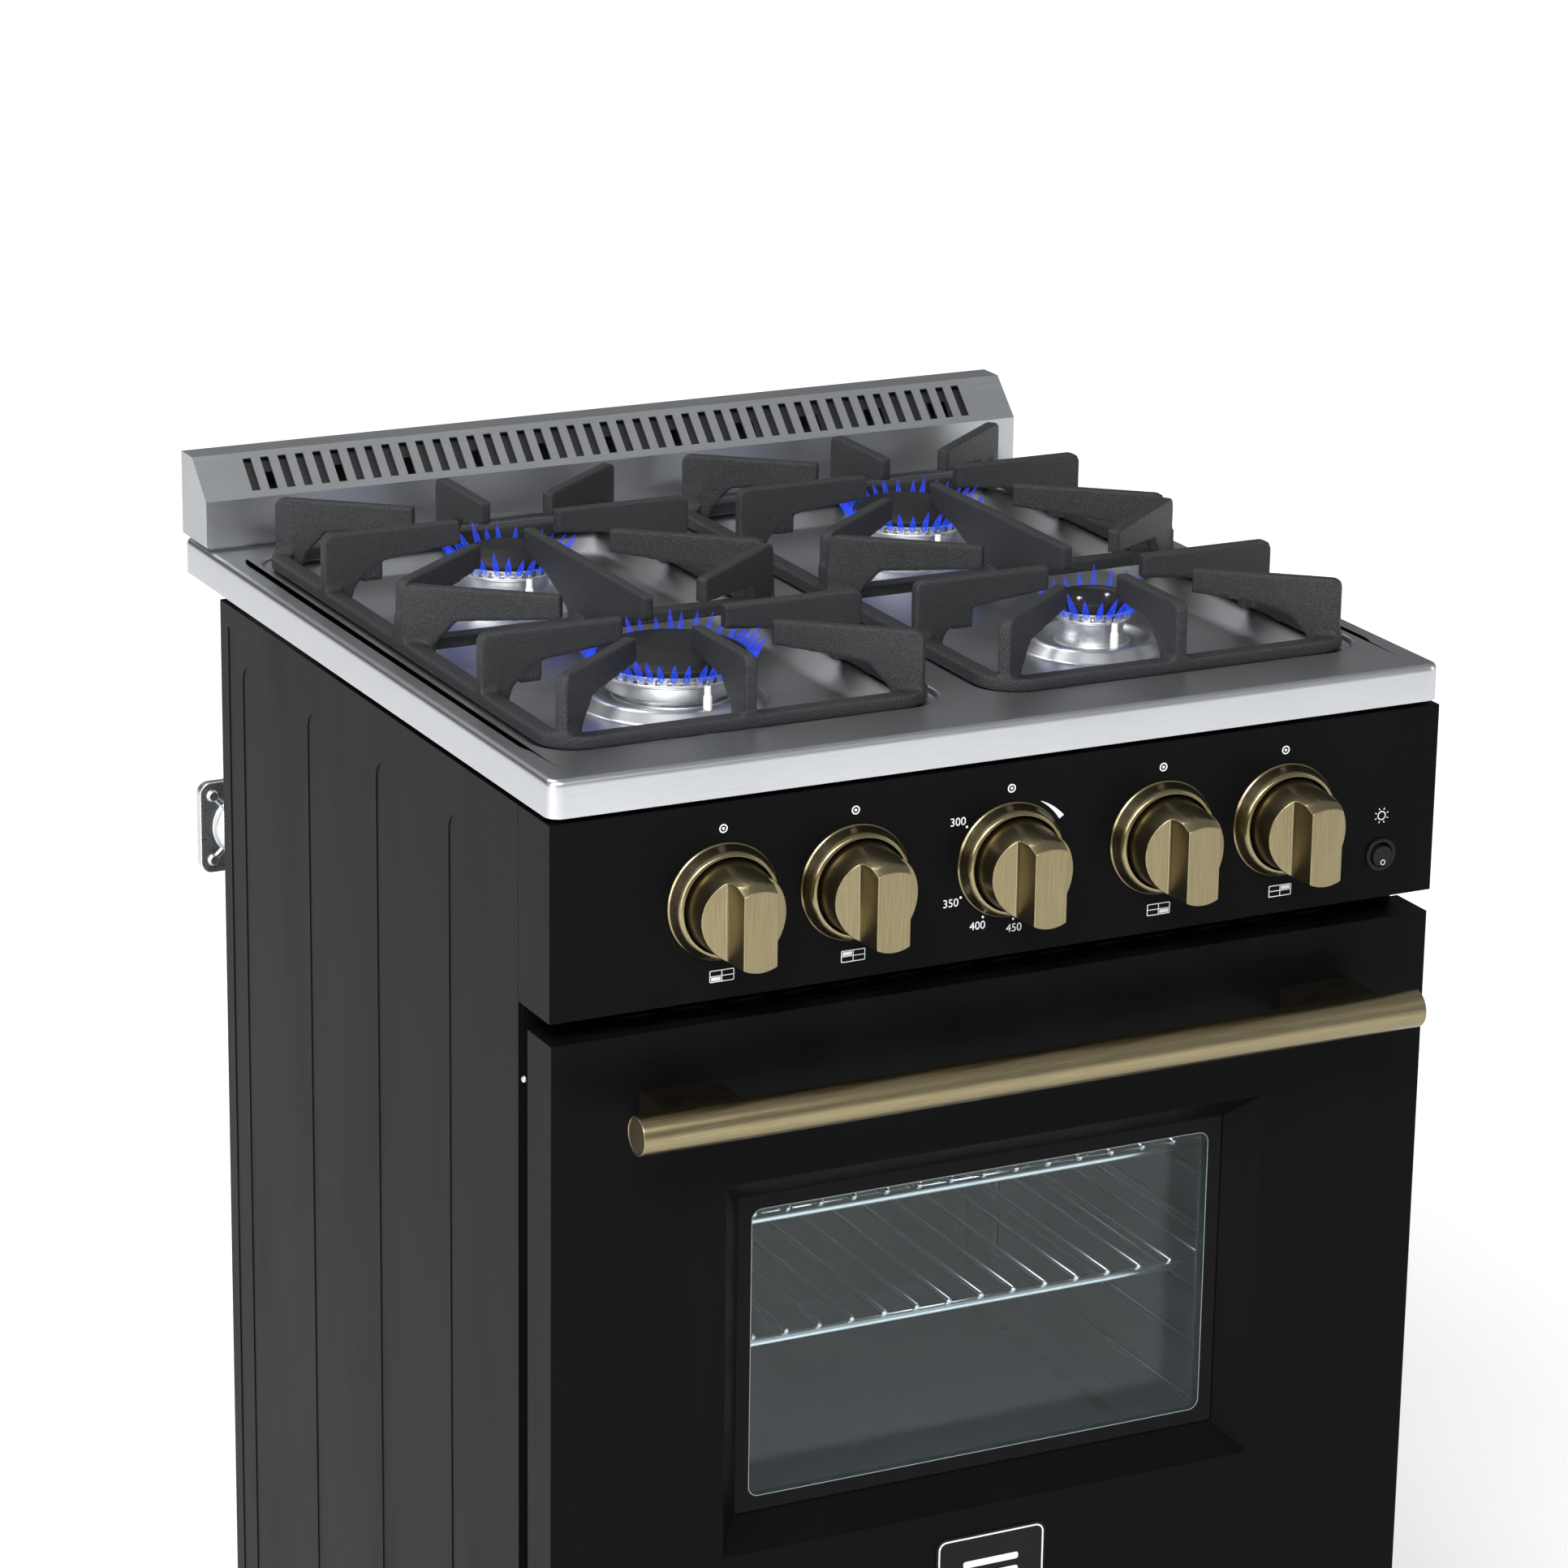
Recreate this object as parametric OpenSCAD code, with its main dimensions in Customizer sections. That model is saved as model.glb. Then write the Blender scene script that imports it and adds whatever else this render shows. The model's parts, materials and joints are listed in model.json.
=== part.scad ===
// Freestanding gas range with four open burners, an oven with a drop-down door and five control knobs.
// Origin: centre of the footprint, on the floor. +Z up, the front faces -Y, the right side is +X.
// Inside the modules y = 0 is the front edge of the cooktop; in_frame() moves everything to the origin.

/* [Overall] */
// Overall width
range_w = 600; // [560:5:720]
// Height of the cooktop surface above the floor
range_h = 914; // [890:1:960]
// Depth of the cooktop, front edge to back edge
top_d = 593; // [570:1:660]
// Distance from the back panel to the cooktop's back edge
back_set = 67; // [55:1:80]
// Height of the legs
leg_h = 104; // [70:1:140]

/* [Sheet metal] */
// Thickness of the body sheets
sheet_t = 1.5; // [1:0.1:2]
// Thickness of the oven's enamelled sheets
liner_t = 1.2; // [1:0.1:2]
// Height of the cooktop's front lip
lip_h = 22.9; // [18:0.1:32]
// Gap between stacked panels
panel_gap = 3.3; // [2:0.1:5]

/* [Cooktop] */
// Bare margin in front of the grates
grate_front = 54; // [45:1:70]
// Bare margin beside the grates
grate_side = 26; // [20:1:40]
// Strip between the two grates
grate_mid = 36; // [30:1:50]
// Gap between the grates and the backguard
grate_back = 26; // [20:1:40]
// Distance of each burner's centre from its grate's front or back edge
burner_inset = 110; // [105:1:120]
// Depth of the pressed grate wells
well_depth = 14; // [12:1:18]

/* [Burners] */
// Cap radius of the front left burner
cap_fl = 46; // [40:0.5:50]
// Cap radius of the rear left burner
cap_rl = 31.5; // [26:0.5:40]
// Cap radius of the rear right burner
cap_rr = 37.5; // [30:0.5:44]
// Cap radius of the front right burner
cap_fr = 24; // [20:0.5:32]

/* [Grates] */
// Width of the grate's frame bar
bar_w = 12; // [9:0.5:14]
// Height of the pan supports above the cooktop
finger_top = 42; // [36:1:50]
// Thickness of the pan supports
finger_t = 8; // [6:0.5:10]
// Height of a pan support at its tip
finger_tip = 15; // [12:1:18]

/* [Backguard] */
// Depth of the backguard
guard_d = 45; // [40:1:60]
// Height of the backguard above the cooktop
guard_h = 57.9; // [50:0.1:80]
// Number of vent slots
guard_slots = 44; // [30:1:44]
// Distance from slot to slot
guard_pitch = 12.25; // [11:0.05:12.5]

/* [Controls] */
// Height of the control panel
panel_h = 120.2; // [112:0.1:140]
// Distance from the centre knob to the inner knobs
knob_x1 = 104; // [90:0.5:106]
// Distance from the centre knob to the outer knobs
knob_x2 = 190; // [187:0.5:195]
// Diameter of a knob at its back
knob_d = 56.5; // [46:0.5:62]
// Distance that a knob's grip stands out from the control panel
knob_out = 51; // [46:0.5:52]
// Width of a bezel's ring round the knob
bezel_ring = 6.6; // [5:0.1:8.5]
// Travel of a knob when pushed in
knob_push = 3; // [2:0.5:4]
// Diameter of the valve spindles
spindle_d = 8; // [6:0.5:10]
// Radial running clearance of the pins and spindles
fit = 0.05; // [0.02:0.01:0.09]

/* [Oven] */
// Clear width of the cavity
cav_w = 440; // [400:5:450]
// Clear height of the cavity above the oven floor
cav_h = 322; // [300:1:330]
// Clear depth of the cavity
cav_d = 400; // [380:1:410]
// Thickness of the insulation jacket
wool_t = 28; // [20:1:30]
// Diameter of the rack's long wires
wire_d = 4; // [3:0.5:5]
// Distance between the rack's wires
wire_pitch = 22.7; // [20:0.1:30]

/* [Door] */
// Height of the door
door_h = 498; // [480:1:510]
// Depth of the door's front skin
skin_d = 33.8; // [30:0.1:36]
// Gap between the control panel and the door
door_gap = 14; // [10:0.5:18]
// Width of the cavity beyond the window's bevelled frame
win_less_w = 70; // [60:1:110]
// Height of the cavity beyond the window's bevelled frame
win_less_h = 81; // [72:1:102]
// Width of the window's bevel
bevel_w = 17; // [12:1:20]
// Depth of the window's recess
bevel_d = 20; // [14:1:22]
// Thickness of the door's glass panes
pane_t = 4; // [3:0.5:5]
// Length of the handle bar
handle_l = 530; // [500:1:550]
// Diameter of the handle bar
handle_d = 24; // [20:0.5:28]
// Distance from the door's face to the centre of the bar
handle_out = 44; // [40:0.5:50]
// Diameter of the hinge pins
pin_d = 8; // [6:0.5:10]

/* [Hidden] */
$fn = 64;

BLACK = "#1b1b1e";
STEEL = "#c3c5c8";
IRON = "#35383c";
BRASS = "#a08a58";
ENAMEL = "#3c444c";

half_w = range_w/2;
body_d = top_d - back_set;          // depth from the cooktop's front edge to the back panel
face_y = 0.7;                       // front face of the control panel
gap = 0.3;                          // gap between faces of pieces that move apart

body_top = range_h - lip_h - panel_gap;
panel_bot = body_top - panel_h;
door_top = panel_bot - door_gap;
door_bot = door_top - door_h;
door_y = 1.1;                       // front face of the door
door_back = door_y + skin_d;
frame_y = door_back + 8.1;          // front face of the oven's face frame
side_y = frame_y + 2;               // front edge of the side panels
door_half = half_w - 1.3;
pivot_y = 22;                       // hinge axis of the door
pivot_z = door_bot + 14;
kick_top = door_bot - 15;

cav_top = door_top - 77;
cav_bot = cav_top - cav_h;
pit_h = 42;                         // burner box under the oven floor
cav_y0 = frame_y + 2;
cav_y1 = cav_y0 + cav_d;
mouth_r = 8;

grate_w = (range_w - 2*grate_side - grate_mid)/2;
grate_y1 = top_d - guard_d - grate_back;
grate_l = grate_y1 - grate_front;
grate_cx = grate_mid/2 + grate_w/2;
grate_r = 28;
bar_bot = range_h - 2.5;
bar_top = range_h + 6;
ledge_z = range_h - 4;
burner_y = [grate_front + burner_inset, grate_y1 - burner_inset];
// [x, y, cap radius] of the front left, rear left, rear right and front right burners
BURNERS = [[-grate_cx, burner_y[0], cap_fl], [-grate_cx, burner_y[1], cap_rl],
    [grate_cx, burner_y[1], cap_rr], [grate_cx, burner_y[0], cap_fr]];
floor_z = range_h - well_depth;     // bottom of the wells
cap_z = range_h + 12.5;             // lower edge of the burner caps
head_z = range_h - 4;               // lower edge of the burner heads

knob_z = body_top - 60;
KNOBS = [-knob_x2, -knob_x1, 0, knob_x1, knob_x2];
knob_front = face_y - knob_out;
knob_back = face_y - knob_push - 1.5;
bezel_in = knob_d/2 + 1.3;
bezel_out = bezel_in + bezel_ring;
spindle_tip = knob_back - 17;
valve_y = 36;                       // front of the valve bodies
manifold_y = 76;
manifold_d = 22;
switch_x = half_w - 38.5;
switch_z = panel_bot + 28.3;
rocker_d = 13.5;

win_w = cav_w - win_less_w;         // bevelled frame of the window
win_h = cav_h - win_less_h;
win_z = door_top - 105 - win_h/2;   // middle of the window
open_w = win_w - 2*bevel_w;
open_h = win_h - 2*bevel_w;
handle_z = door_top - 44.6;
handle_y = door_y - handle_out;
bracket_x = 218;                    // middle of each handle bracket
bracket_w = 50;
hinge_x = 240;                      // middle of each hinge
hinge_t = 5;                        // thickness of the hinge bracket plates

rack_z = [door_top - 238, door_top - 157];
rack_side = cav_w/2 - 10;
rack_y0 = cav_y0 + 20;
rack_l = cav_d - 30;
guide_d = 5;

reg_x = -half_w + 33.5;             // centre of the pressure regulator
reg_y = 578;
reg_z = range_h - 199;
reg_s = 63;
inlet_r = 9.2;
inlet_l = 16;

rear_y = top_d;
front_y = handle_y - handle_d/2;
y_origin = -(rear_y + front_y)/2;

module in_frame() { translate([0, y_origin, 0]) children(); }

// box given by its lowest and highest corners
module slab(lo, hi) { translate(lo) cube(hi - lo); }

// the same box on both sides of x = 0
module both() {
    children();
    mirror([1, 0, 0]) children();
}

// outline of a rectangle with round corners, centred
module round_rect(w, h, r) {
    square([w - 2*r, h], center = true);
    square([w, h - 2*r], center = true);
    for (x = [-1, 1], y = [-1, 1]) translate([x*(w/2 - r), y*(h/2 - r)]) circle(r);
}

// slot outline with round ends, long side along x
module obround(l, w) {
    square([l - w, w], center = true);
    for (x = [-1, 1]) translate([x*(l - w)/2, 0]) circle(w/2, $fn = 24);
}

// straight round bar from a to b
module bar(a, b, d, n = 32) {
    v = b - a;
    translate(a) rotate([0, acos(v[2]/norm(v)), atan2(v[1], v[0])]) cylinder(d = d, h = norm(v), $fn = n);
}

// round shape turned about an axis along -y through [x, z], profile points are [radius, distance in front]
module turned(x, z, n = 64) { translate([x, 0, z]) rotate([90, 0, 0]) rotate_extrude($fn = n) children(); }

// cylinder along y between two y values
module y_cyl(x, z, y0, y1, d, n = 48) {
    translate([x, y1, z]) rotate([90, 0, 0]) cylinder(d = d, h = y1 - y0, $fn = n);
}

// pressed pan with round corners and sloping sides: widths at the top and the bottom
module pan(w, l, r, drop, run, z) {
    hull() for (x = [-1, 1], y = [-1, 1])
        translate([x*(w/2 - r), y*(l/2 - r), z - drop]) cylinder(r1 = r - run, r2 = r, h = drop, $fn = 32);
}

// ---- cooktop and backguard ------------------------------------------------------------------------

well_rim = 5;                       // the wells are this much larger than the grates all round
slope_w = 18;                       // width of the slope from the ledge down to the floor of a well
pan_w = grate_w - 2*bar_w + 2;
pan_l = grate_l - 2*bar_w + 2;
flue_w = 190;                       // clear width of the flue
flue_y = [cav_y1 - 42, cav_y1 - 6];
guard_y = top_d - guard_d;
guard_flat = 19.8;                  // depth of the backguard's flat top
slope_y = top_d - guard_flat;
guard_lip = 33.2;                   // height where the slope begins
slot_w = 5.8;
slot_l = 25;

function boss_r(cap) = 31.6 + 0.6*cap;
function hole_r(cap) = boss_r(cap) - 26;

// pressed ring round a burner, points are [radius, z]
module boss_profile(r, t) {
    top = [[r - 26, 4], [r - 18, 4], [r - 12, 8], [r - 7, 8], [r, 0], [r + 3, 0]];
    polygon(concat([for (p = top) [p[0], floor_z + p[1]]],
        [for (i = [5:-1:0]) [top[i][0], floor_z + top[i][1] - t]]));
}

module cooktop() {
    t = sheet_t;
    color(STEEL) in_frame() difference() {
        union() {
            difference() {
                union() {
                    difference() {
                        slab([-half_w, 0, range_h - lip_h], [half_w, top_d, range_h]);
                        slab([-half_w + t, t, range_h - lip_h - 1], [half_w - t, top_d - t, range_h - t]);
                    }
                    for (s = [-1, 1]) translate([s*grate_cx, grate_front + grate_l/2, 0]) {
                        translate([0, 0, ledge_z - t]) linear_extrude(range_h - ledge_z + t/2)
                            round_rect(grate_w + 2*well_rim + 2*t, grate_l + 2*well_rim + 2*t, grate_r);
                        pan(pan_w + 2*t, pan_l + 2*t, grate_r, ledge_z - floor_z, slope_w, ledge_z - t/2);
                    }
                }
                for (s = [-1, 1]) translate([s*grate_cx, grate_front + grate_l/2, 0]) {
                    translate([0, 0, ledge_z]) linear_extrude(range_h)
                        round_rect(grate_w + 2*well_rim, grate_l + 2*well_rim, grate_r);
                    pan(pan_w, pan_l, grate_r, ledge_z - floor_z, slope_w, ledge_z + 0.01);
                }
                for (b = BURNERS) translate([b[0], b[1], floor_z - 5]) cylinder(r = boss_r(b[2]) - 1, h = 10);
            }
            for (b = BURNERS) translate([b[0], b[1], 0]) rotate_extrude() boss_profile(boss_r(b[2]), t);
        }
        for (b = BURNERS) translate([b[0], b[1] - b[2] - 4, floor_z - 3]) cylinder(d = 6.5, h = 20, $fn = 24);
        slab([-flue_w/2, guard_y + 8, range_h - 9], [flue_w/2, top_d - 8, range_h + 1]);
    }
}

// outline of the backguard from the side, drawn as [y, z above the cooktop], shrunk by t
module guard_outline(t, foot) {
    polygon([[guard_y + t, foot], [guard_y + t, guard_lip - 0.4*t], [slope_y + 0.4*t, guard_h - t],
        [top_d - t, guard_h - t], [top_d - t, foot]]);
}

// extrudes a [y, z] outline along x between x0 and x1, above the cooktop
module along_x(x0, x1, z = range_h) {
    translate([x0, 0, z]) rotate([90, 0, 90]) linear_extrude(x1 - x0) children();
}

module backguard() {
    t = sheet_t;
    foot = 2.5;
    tilt = atan2(guard_h - guard_lip, slope_y - guard_y);
    color(STEEL) in_frame() {
        difference() {
            along_x(-half_w, half_w) guard_outline(0, foot);
            along_x(-half_w + t, half_w - t) guard_outline(t, foot - 1);
            for (i = [0:guard_slots - 1])
                translate([(i - (guard_slots - 1)/2)*guard_pitch, guard_y, range_h + guard_lip])
                    rotate([tilt, 0, 0]) translate([-slot_w/2, 5.4, -4]) cube([slot_w, slot_l, 8]);
        }
        difference() {
            slab([-half_w + 4, guard_y + 4, range_h], [half_w - 4, top_d - 4, range_h + foot + 2]);
            slab([-half_w + 4 + t, guard_y + 4 + t, range_h - 1],
                [half_w - 4 - t, top_d - 4 - t, range_h + foot + 3]);
        }
        both() slab([half_w - 4 - t, guard_y + t, range_h + foot],
            [half_w - t, top_d - t, range_h + foot + t]);
        slab([-half_w + t, guard_y + t/2, range_h + foot], [half_w - t, guard_y + 5.5, range_h + foot + t]);
    }
}

module backguard_baffle() {
    y0 = guard_y + sheet_t;
    top = guard_h - sheet_t;
    x = half_w - sheet_t;
    pitch = 2*x/12;
    color("#2b2c2e") in_frame() difference() {
        along_x(-x, x) polygon([[y0, 20], [y0, 21.4], [slope_y + 7, top], [slope_y + 8.4, top]]);
        for (i = [-5:5]) translate([i*pitch, y0 + 16, range_h + 38]) cube([14, 10, 12], center = true);
    }
}

// ---- body -----------------------------------------------------------------------------------------

side_t = 2;
press = 0.6;                        // depth of each pressed step in the side panels
field = 15;                         // width of the plain border of the side panels
rib_n = 4;
kick_y = 8;

module side_panel() {
    l = body_d - side_y;
    h = body_top - leg_h;
    rib_pitch = (l - 2*field + 1)/rib_n;
    difference() {
        slab([-half_w, side_y, leg_h], [-half_w + 16, body_d, body_top]);
        slab([-half_w + side_t, side_y + side_t, leg_h + side_t],
            [-half_w + 17, body_d - side_t, body_top - side_t]);
        slab([-half_w - 1, side_y + field, leg_h + field],
            [-half_w + press, body_d - field + 1, body_top - field]);
        for (i = [0:rib_n - 1])
            translate([-half_w + 2*press, side_y + field + (i + 0.5)*rib_pitch, leg_h + h/2])
                rotate([90, 0, -90]) linear_extrude(2*press + 1) round_rect(rib_pitch - 48, h - 68, 12);
    }
}
module side_panel_left() { color(BLACK) in_frame() side_panel(); }
module side_panel_right() { color(BLACK) in_frame() mirror([1, 0, 0]) side_panel(); }

wall_hole_x = 150;
wall_hole_z = range_h - 150;
back_y = body_d - side_t;           // outer face of the back panel

module back_panel() {
    x = half_w - side_t;
    color(BLACK) in_frame() difference() {
        slab([-x, back_y - sheet_t, leg_h + side_t], [x, back_y, body_top - side_t]);
        slab([-flue_w/2 - 2.5, back_y - 5, range_h - 82], [flue_w/2 + 2.5, back_y + 5, range_h - 25]);
        y_cyl(reg_x, knob_z, back_y - 5, back_y + 5, 26);
        for (s = [-1, 1]) y_cyl(s*wall_hole_x, wall_hole_z, back_y - 5, back_y + 5, 5.5, 32);
        for (row = [0:3], i = [-3:3]) translate([i*62, back_y + 1, leg_h + 60 + row*26])
            rotate([90, 0, 0]) linear_extrude(5) obround(46, 6);
    }
}

module base_frame() {
    x = half_w - side_t;
    z = leg_h + side_t;
    color("#2a2b2d") in_frame() difference() {
        slab([-x + 14.5, side_y + side_t, leg_h], [x - 14.5, back_y - sheet_t, z + 24]);
        slab([-x + 16, side_y + side_t + 1.5, z], [x - 16, back_y - sheet_t - 1.5, z + 25]);
        for (p = LEGS) translate([p[0], p[1], leg_h - 1]) cylinder(d = 10.6, h = 10);
    }
}

LEGS = [for (x = [-1, 1], y = [side_y + 55, body_d - 45]) [x*(half_w - 60), y]];

module leveling_legs() {
    color("#9a9da1") in_frame() for (p = LEGS) translate([p[0], p[1], 0]) {
        cylinder(d = 48, h = 8);
        translate([0, 0, 8]) cylinder(d1 = 48, d2 = 34, h = 6);
        translate([0, 0, 14]) cylinder(d = 38, h = leg_h - 14);
        translate([0, 0, leg_h]) cylinder(d = 10, h = 18);
    }
}

module kick_panel() {
    color(BLACK) in_frame() difference() {
        slab([-half_w + 1, kick_y, leg_h], [half_w - 1, side_y, kick_top]);
        slab([-half_w + 1 + sheet_t, kick_y + sheet_t, leg_h + sheet_t],
            [half_w - 1 - sheet_t, side_y + 1, kick_top - sheet_t]);
    }
}

module control_panel() {
    t = sheet_t;
    color(BLACK) in_frame() difference() {
        slab([-half_w, face_y, panel_bot], [half_w, side_y, body_top]);
        slab([-half_w + t, face_y + t, panel_bot + t], [half_w - t, side_y + 1, body_top - t]);
        for (x = KNOBS) y_cyl(x, knob_z, face_y - 1, face_y + 5, spindle_d + 4);
        y_cyl(switch_x, switch_z, face_y - 1, face_y + 5, 19);
    }
}

mouth_z = (cav_top + cav_bot)/2;

module front_frame() {
    x = half_w - side_t;
    color("#222327") in_frame() {
        difference() {
            slab([-x, frame_y, kick_top], [x, side_y, panel_bot]);
            translate([0, frame_y + 5, mouth_z]) rotate([90, 0, 0]) linear_extrude(10)
                round_rect(cav_w, cav_h, mouth_r);
        }
        both() slab([x - 3.5, frame_y - 5, pivot_z + 24], [x - 2, frame_y + 1, door_top - 4]);
    }
}

module body_screws() {
    color("#c9ccd0") in_frame() {
        both() translate([half_w - side_t - 2, frame_y - 2.5, door_top - 33]) rotate([0, 90, 0])
            cylinder(d = 4.5, h = 2.6, $fn = 24);
        for (x = [-1, 1], z = [leg_h + 40, mouth_z, body_top - 40])
            y_cyl(x*(half_w - 9), z, body_d, body_d + 2.4, 8, 24);
    }
}

// ---- oven -----------------------------------------------------------------------------------------

liner_z0 = cav_bot - pit_h;
burner_d = 26;
broil_d = 24;
oven_burner_z = cav_bot - 22;
broil_z = cav_top - 23;
oven_burner_x = -30;
broil_x = 30;
burner_end = cav_y1 + 52;           // rear ends of the two oven burners
lamp_x = 150;
lamp_z = cav_top - 52;
lamp_d = 34;

module oven_liner() {
    t = liner_t;
    x = cav_w/2;
    color(ENAMEL) in_frame() {
        difference() {
            union() {
                slab([-x - t, cav_y0, liner_z0 - t], [x + t, cav_y1 + t, cav_top + t]);
                slab([-x - 13, cav_y0, liner_z0 - t], [x + 13, cav_y0 + t, cav_top + 13]);
            }
            slab([-x, cav_y0 - 1, liner_z0], [x, cav_y1, cav_top]);
            slab([-flue_w/2, flue_y[0], cav_top - 1], [flue_w/2, flue_y[1], cav_top + 5]);
            y_cyl(oven_burner_x, oven_burner_z, cav_y1 - 5, cav_y1 + 5, burner_d + 1);
            y_cyl(broil_x, broil_z, cav_y1 - 5, cav_y1 + 5, broil_d + 1);
            y_cyl(lamp_x, lamp_z, cav_y1 - 5, cav_y1 + 5, lamp_d + 1);
        }
        both() slab([x - 10, cav_y0 + 8, cav_bot - liner_t - 2], [x + t/2, cav_y1, cav_bot - liner_t]);
    }
}

module insulation() {
    t = liner_t;
    x = cav_w/2 + t;
    y0 = cav_y0 + t;
    color("#d9cfa6") in_frame() difference() {
        slab([-x - wool_t, y0, liner_z0 - t - wool_t],
            [x + wool_t, cav_y1 + t + wool_t, cav_top + t + wool_t]);
        slab([-x, y0 - 1, liner_z0 - t], [x, cav_y1 + t, cav_top + t]);
        slab([-flue_w/2 - 2, flue_y[0] - 2, cav_top - 1], [flue_w/2 + 2, flue_y[1] + 2, cav_top + 60]);
        y_cyl(oven_burner_x, oven_burner_z, cav_y1 - 5, cav_y1 + 60, burner_d + 1);
        y_cyl(broil_x, broil_z, cav_y1 - 5, cav_y1 + 60, broil_d + 1);
        y_cyl(lamp_x, lamp_z, cav_y1 - 5, cav_y1 + 60, lamp_d + 5);
    }
}

module oven_floor() {
    x = cav_w/2 - 1;
    color(ENAMEL) in_frame() difference() {
        slab([-x, cav_y0 + 8, cav_bot - liner_t], [x, cav_y1 - 1, cav_bot]);
        for (s = [-1, 1], i = [0:5])
            translate([s*(x - 22), cav_y0 + 60 + i*56, cav_bot - 5]) rotate(90)
                linear_extrude(10) obround(40, 9);
        translate([0, cav_y0 + 24, cav_bot - 5]) cylinder(d = 22, h = 10);
    }
}

module tube_burner(x, z, d) {
    difference() {
        y_cyl(x, z, cav_y0 + 40, burner_end, d);
        y_cyl(x, z, cav_y0 + 42, burner_end - 2, d - 3);
        for (i = [0:15]) translate([x, cav_y0 + 65 + i*20, z]) cube([d + 2, 2, 2], center = true);
    }
}

module oven_burner() { color("#9b9ea2") in_frame() tube_burner(oven_burner_x, oven_burner_z, burner_d); }
module broil_burner() { color("#9b9ea2") in_frame() tube_burner(broil_x, broil_z, broil_d); }

module flue_duct() {
    w = flue_w/2;
    z0 = cav_top + liner_t;
    z1 = range_h - 80;
    z2 = range_h - 27;
    y1 = top_d - 8;
    y_up = guard_y + 8;
    color("#8f9296") in_frame() difference() {
        union() {
            slab([-w - 1, flue_y[0] - 1, z0], [w + 1, flue_y[1] + 1, z2]);
            slab([-w - 1, flue_y[0] - 1, z1], [w + 1, y1 + 1, z2]);
            slab([-w - 1, y_up - 1, z1], [w + 1, y1 + 1, range_h - sheet_t]);
        }
        slab([-w, flue_y[0], z0 - 1], [w, flue_y[1], z2 - 1]);
        slab([-w, flue_y[0], z1 + 1], [w, y1, z2 - 1]);
        slab([-w, y_up, z1 + 1], [w, y1, range_h]);
    }
}

module oven_lamp() {
    color("#e9e6da") in_frame() {
        y_cyl(lamp_x, lamp_z, cav_y1 - 12, cav_y1 + 26, lamp_d);
        translate([lamp_x, cav_y1 - 12, lamp_z]) sphere(d = lamp_d - 4);
    }
}

guide_x = cav_w/2 - guide_d/2;

module rack_guides() {
    levels = [for (k = [-3:3]) rack_z[0] - 3 - gap - guide_d/2 + k*(rack_z[1] - rack_z[0])/2];
    color("#b9bcc0") in_frame() both() {
        for (y = [cav_y0 + 45, cav_y1 - 45])
            bar([guide_x, y, levels[0] - 12], [guide_x, y, levels[6] + 12], guide_d, 8);
        for (z = levels) translate([guide_x - guide_d + 0.6, 0, z])
            bar([0, cav_y0 + 12, 0], [0, cav_y1 - 8, 0], guide_d, 8);
    }
}

module rack(z) {
    d = 6;
    x = rack_side;
    y1 = rack_y0 + rack_l;
    n = floor((2*x - 16)/wire_pitch);
    up = (d + wire_d)/2 - 0.8;
    color("#d5d7da") in_frame() {
        both() bar([x, rack_y0, z], [x, y1, z], d, 8);
        for (y = [rack_y0, rack_y0 + rack_l/2, y1]) bar([-x, y, z], [x, y, z], d, 8);
        for (i = [0:n]) translate([(i - n/2)*wire_pitch, 0, z + up])
            bar([0, rack_y0 - 3, 0], [0, y1 + 3, 0], wire_d, 8);
    }
}
module rack_upper() { rack(rack_z[1]); }
module rack_lower() { rack(rack_z[0]); }

// ---- gas and ignition -----------------------------------------------------------------------------

valve_w = 26;
valve_back = manifold_y - 4;
tube_d = 7;
supply_z = knob_z - 28;
base_z = range_h - 45;              // underside of the burner bases

module gas_manifold() {
    color("#8d9094") in_frame() {
        difference() {
            bar([reg_x, manifold_y, knob_z], [knob_x2 + 28, manifold_y, knob_z], manifold_d);
            bar([reg_x + 6, manifold_y, knob_z], [knob_x2 + 24, manifold_y, knob_z], manifold_d - 5);
        }
        bar([reg_x, manifold_y, knob_z], [reg_x, reg_y + 1, knob_z], manifold_d - 1);
        bar([reg_x, reg_y + 1, knob_z + 10], [reg_x, reg_y + 1, reg_z + reg_s/2 + 6], manifold_d - 1);
    }
}

module valve(x, w, h) {
    difference() {
        slab([x - w/2, valve_y, knob_z - h/2], [x + w/2, valve_back, knob_z + h/2]);
        bar([x - w, manifold_y, knob_z], [x + w, manifold_y, knob_z], manifold_d);
        y_cyl(x, knob_z, valve_y - 1, valve_y + 26, spindle_d + 2*fit);
    }
}
module valve_bodies() {
    color("#a98d4b") in_frame() for (x = [-knob_x2, -knob_x1, knob_x1, knob_x2]) valve(x, valve_w, 30);
}
module oven_thermostat() { color("#8f8a7a") in_frame() valve(0, 44, 44); }

// joined straight tubes through a list of points
module tube_run(pts, d) {
    for (i = [0:len(pts) - 2]) bar(pts[i], pts[i + 1], d, 24);
    if (len(pts) > 2) for (i = [1:len(pts) - 2]) translate(pts[i]) sphere(d = d, $fn = 24);
}

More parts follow.
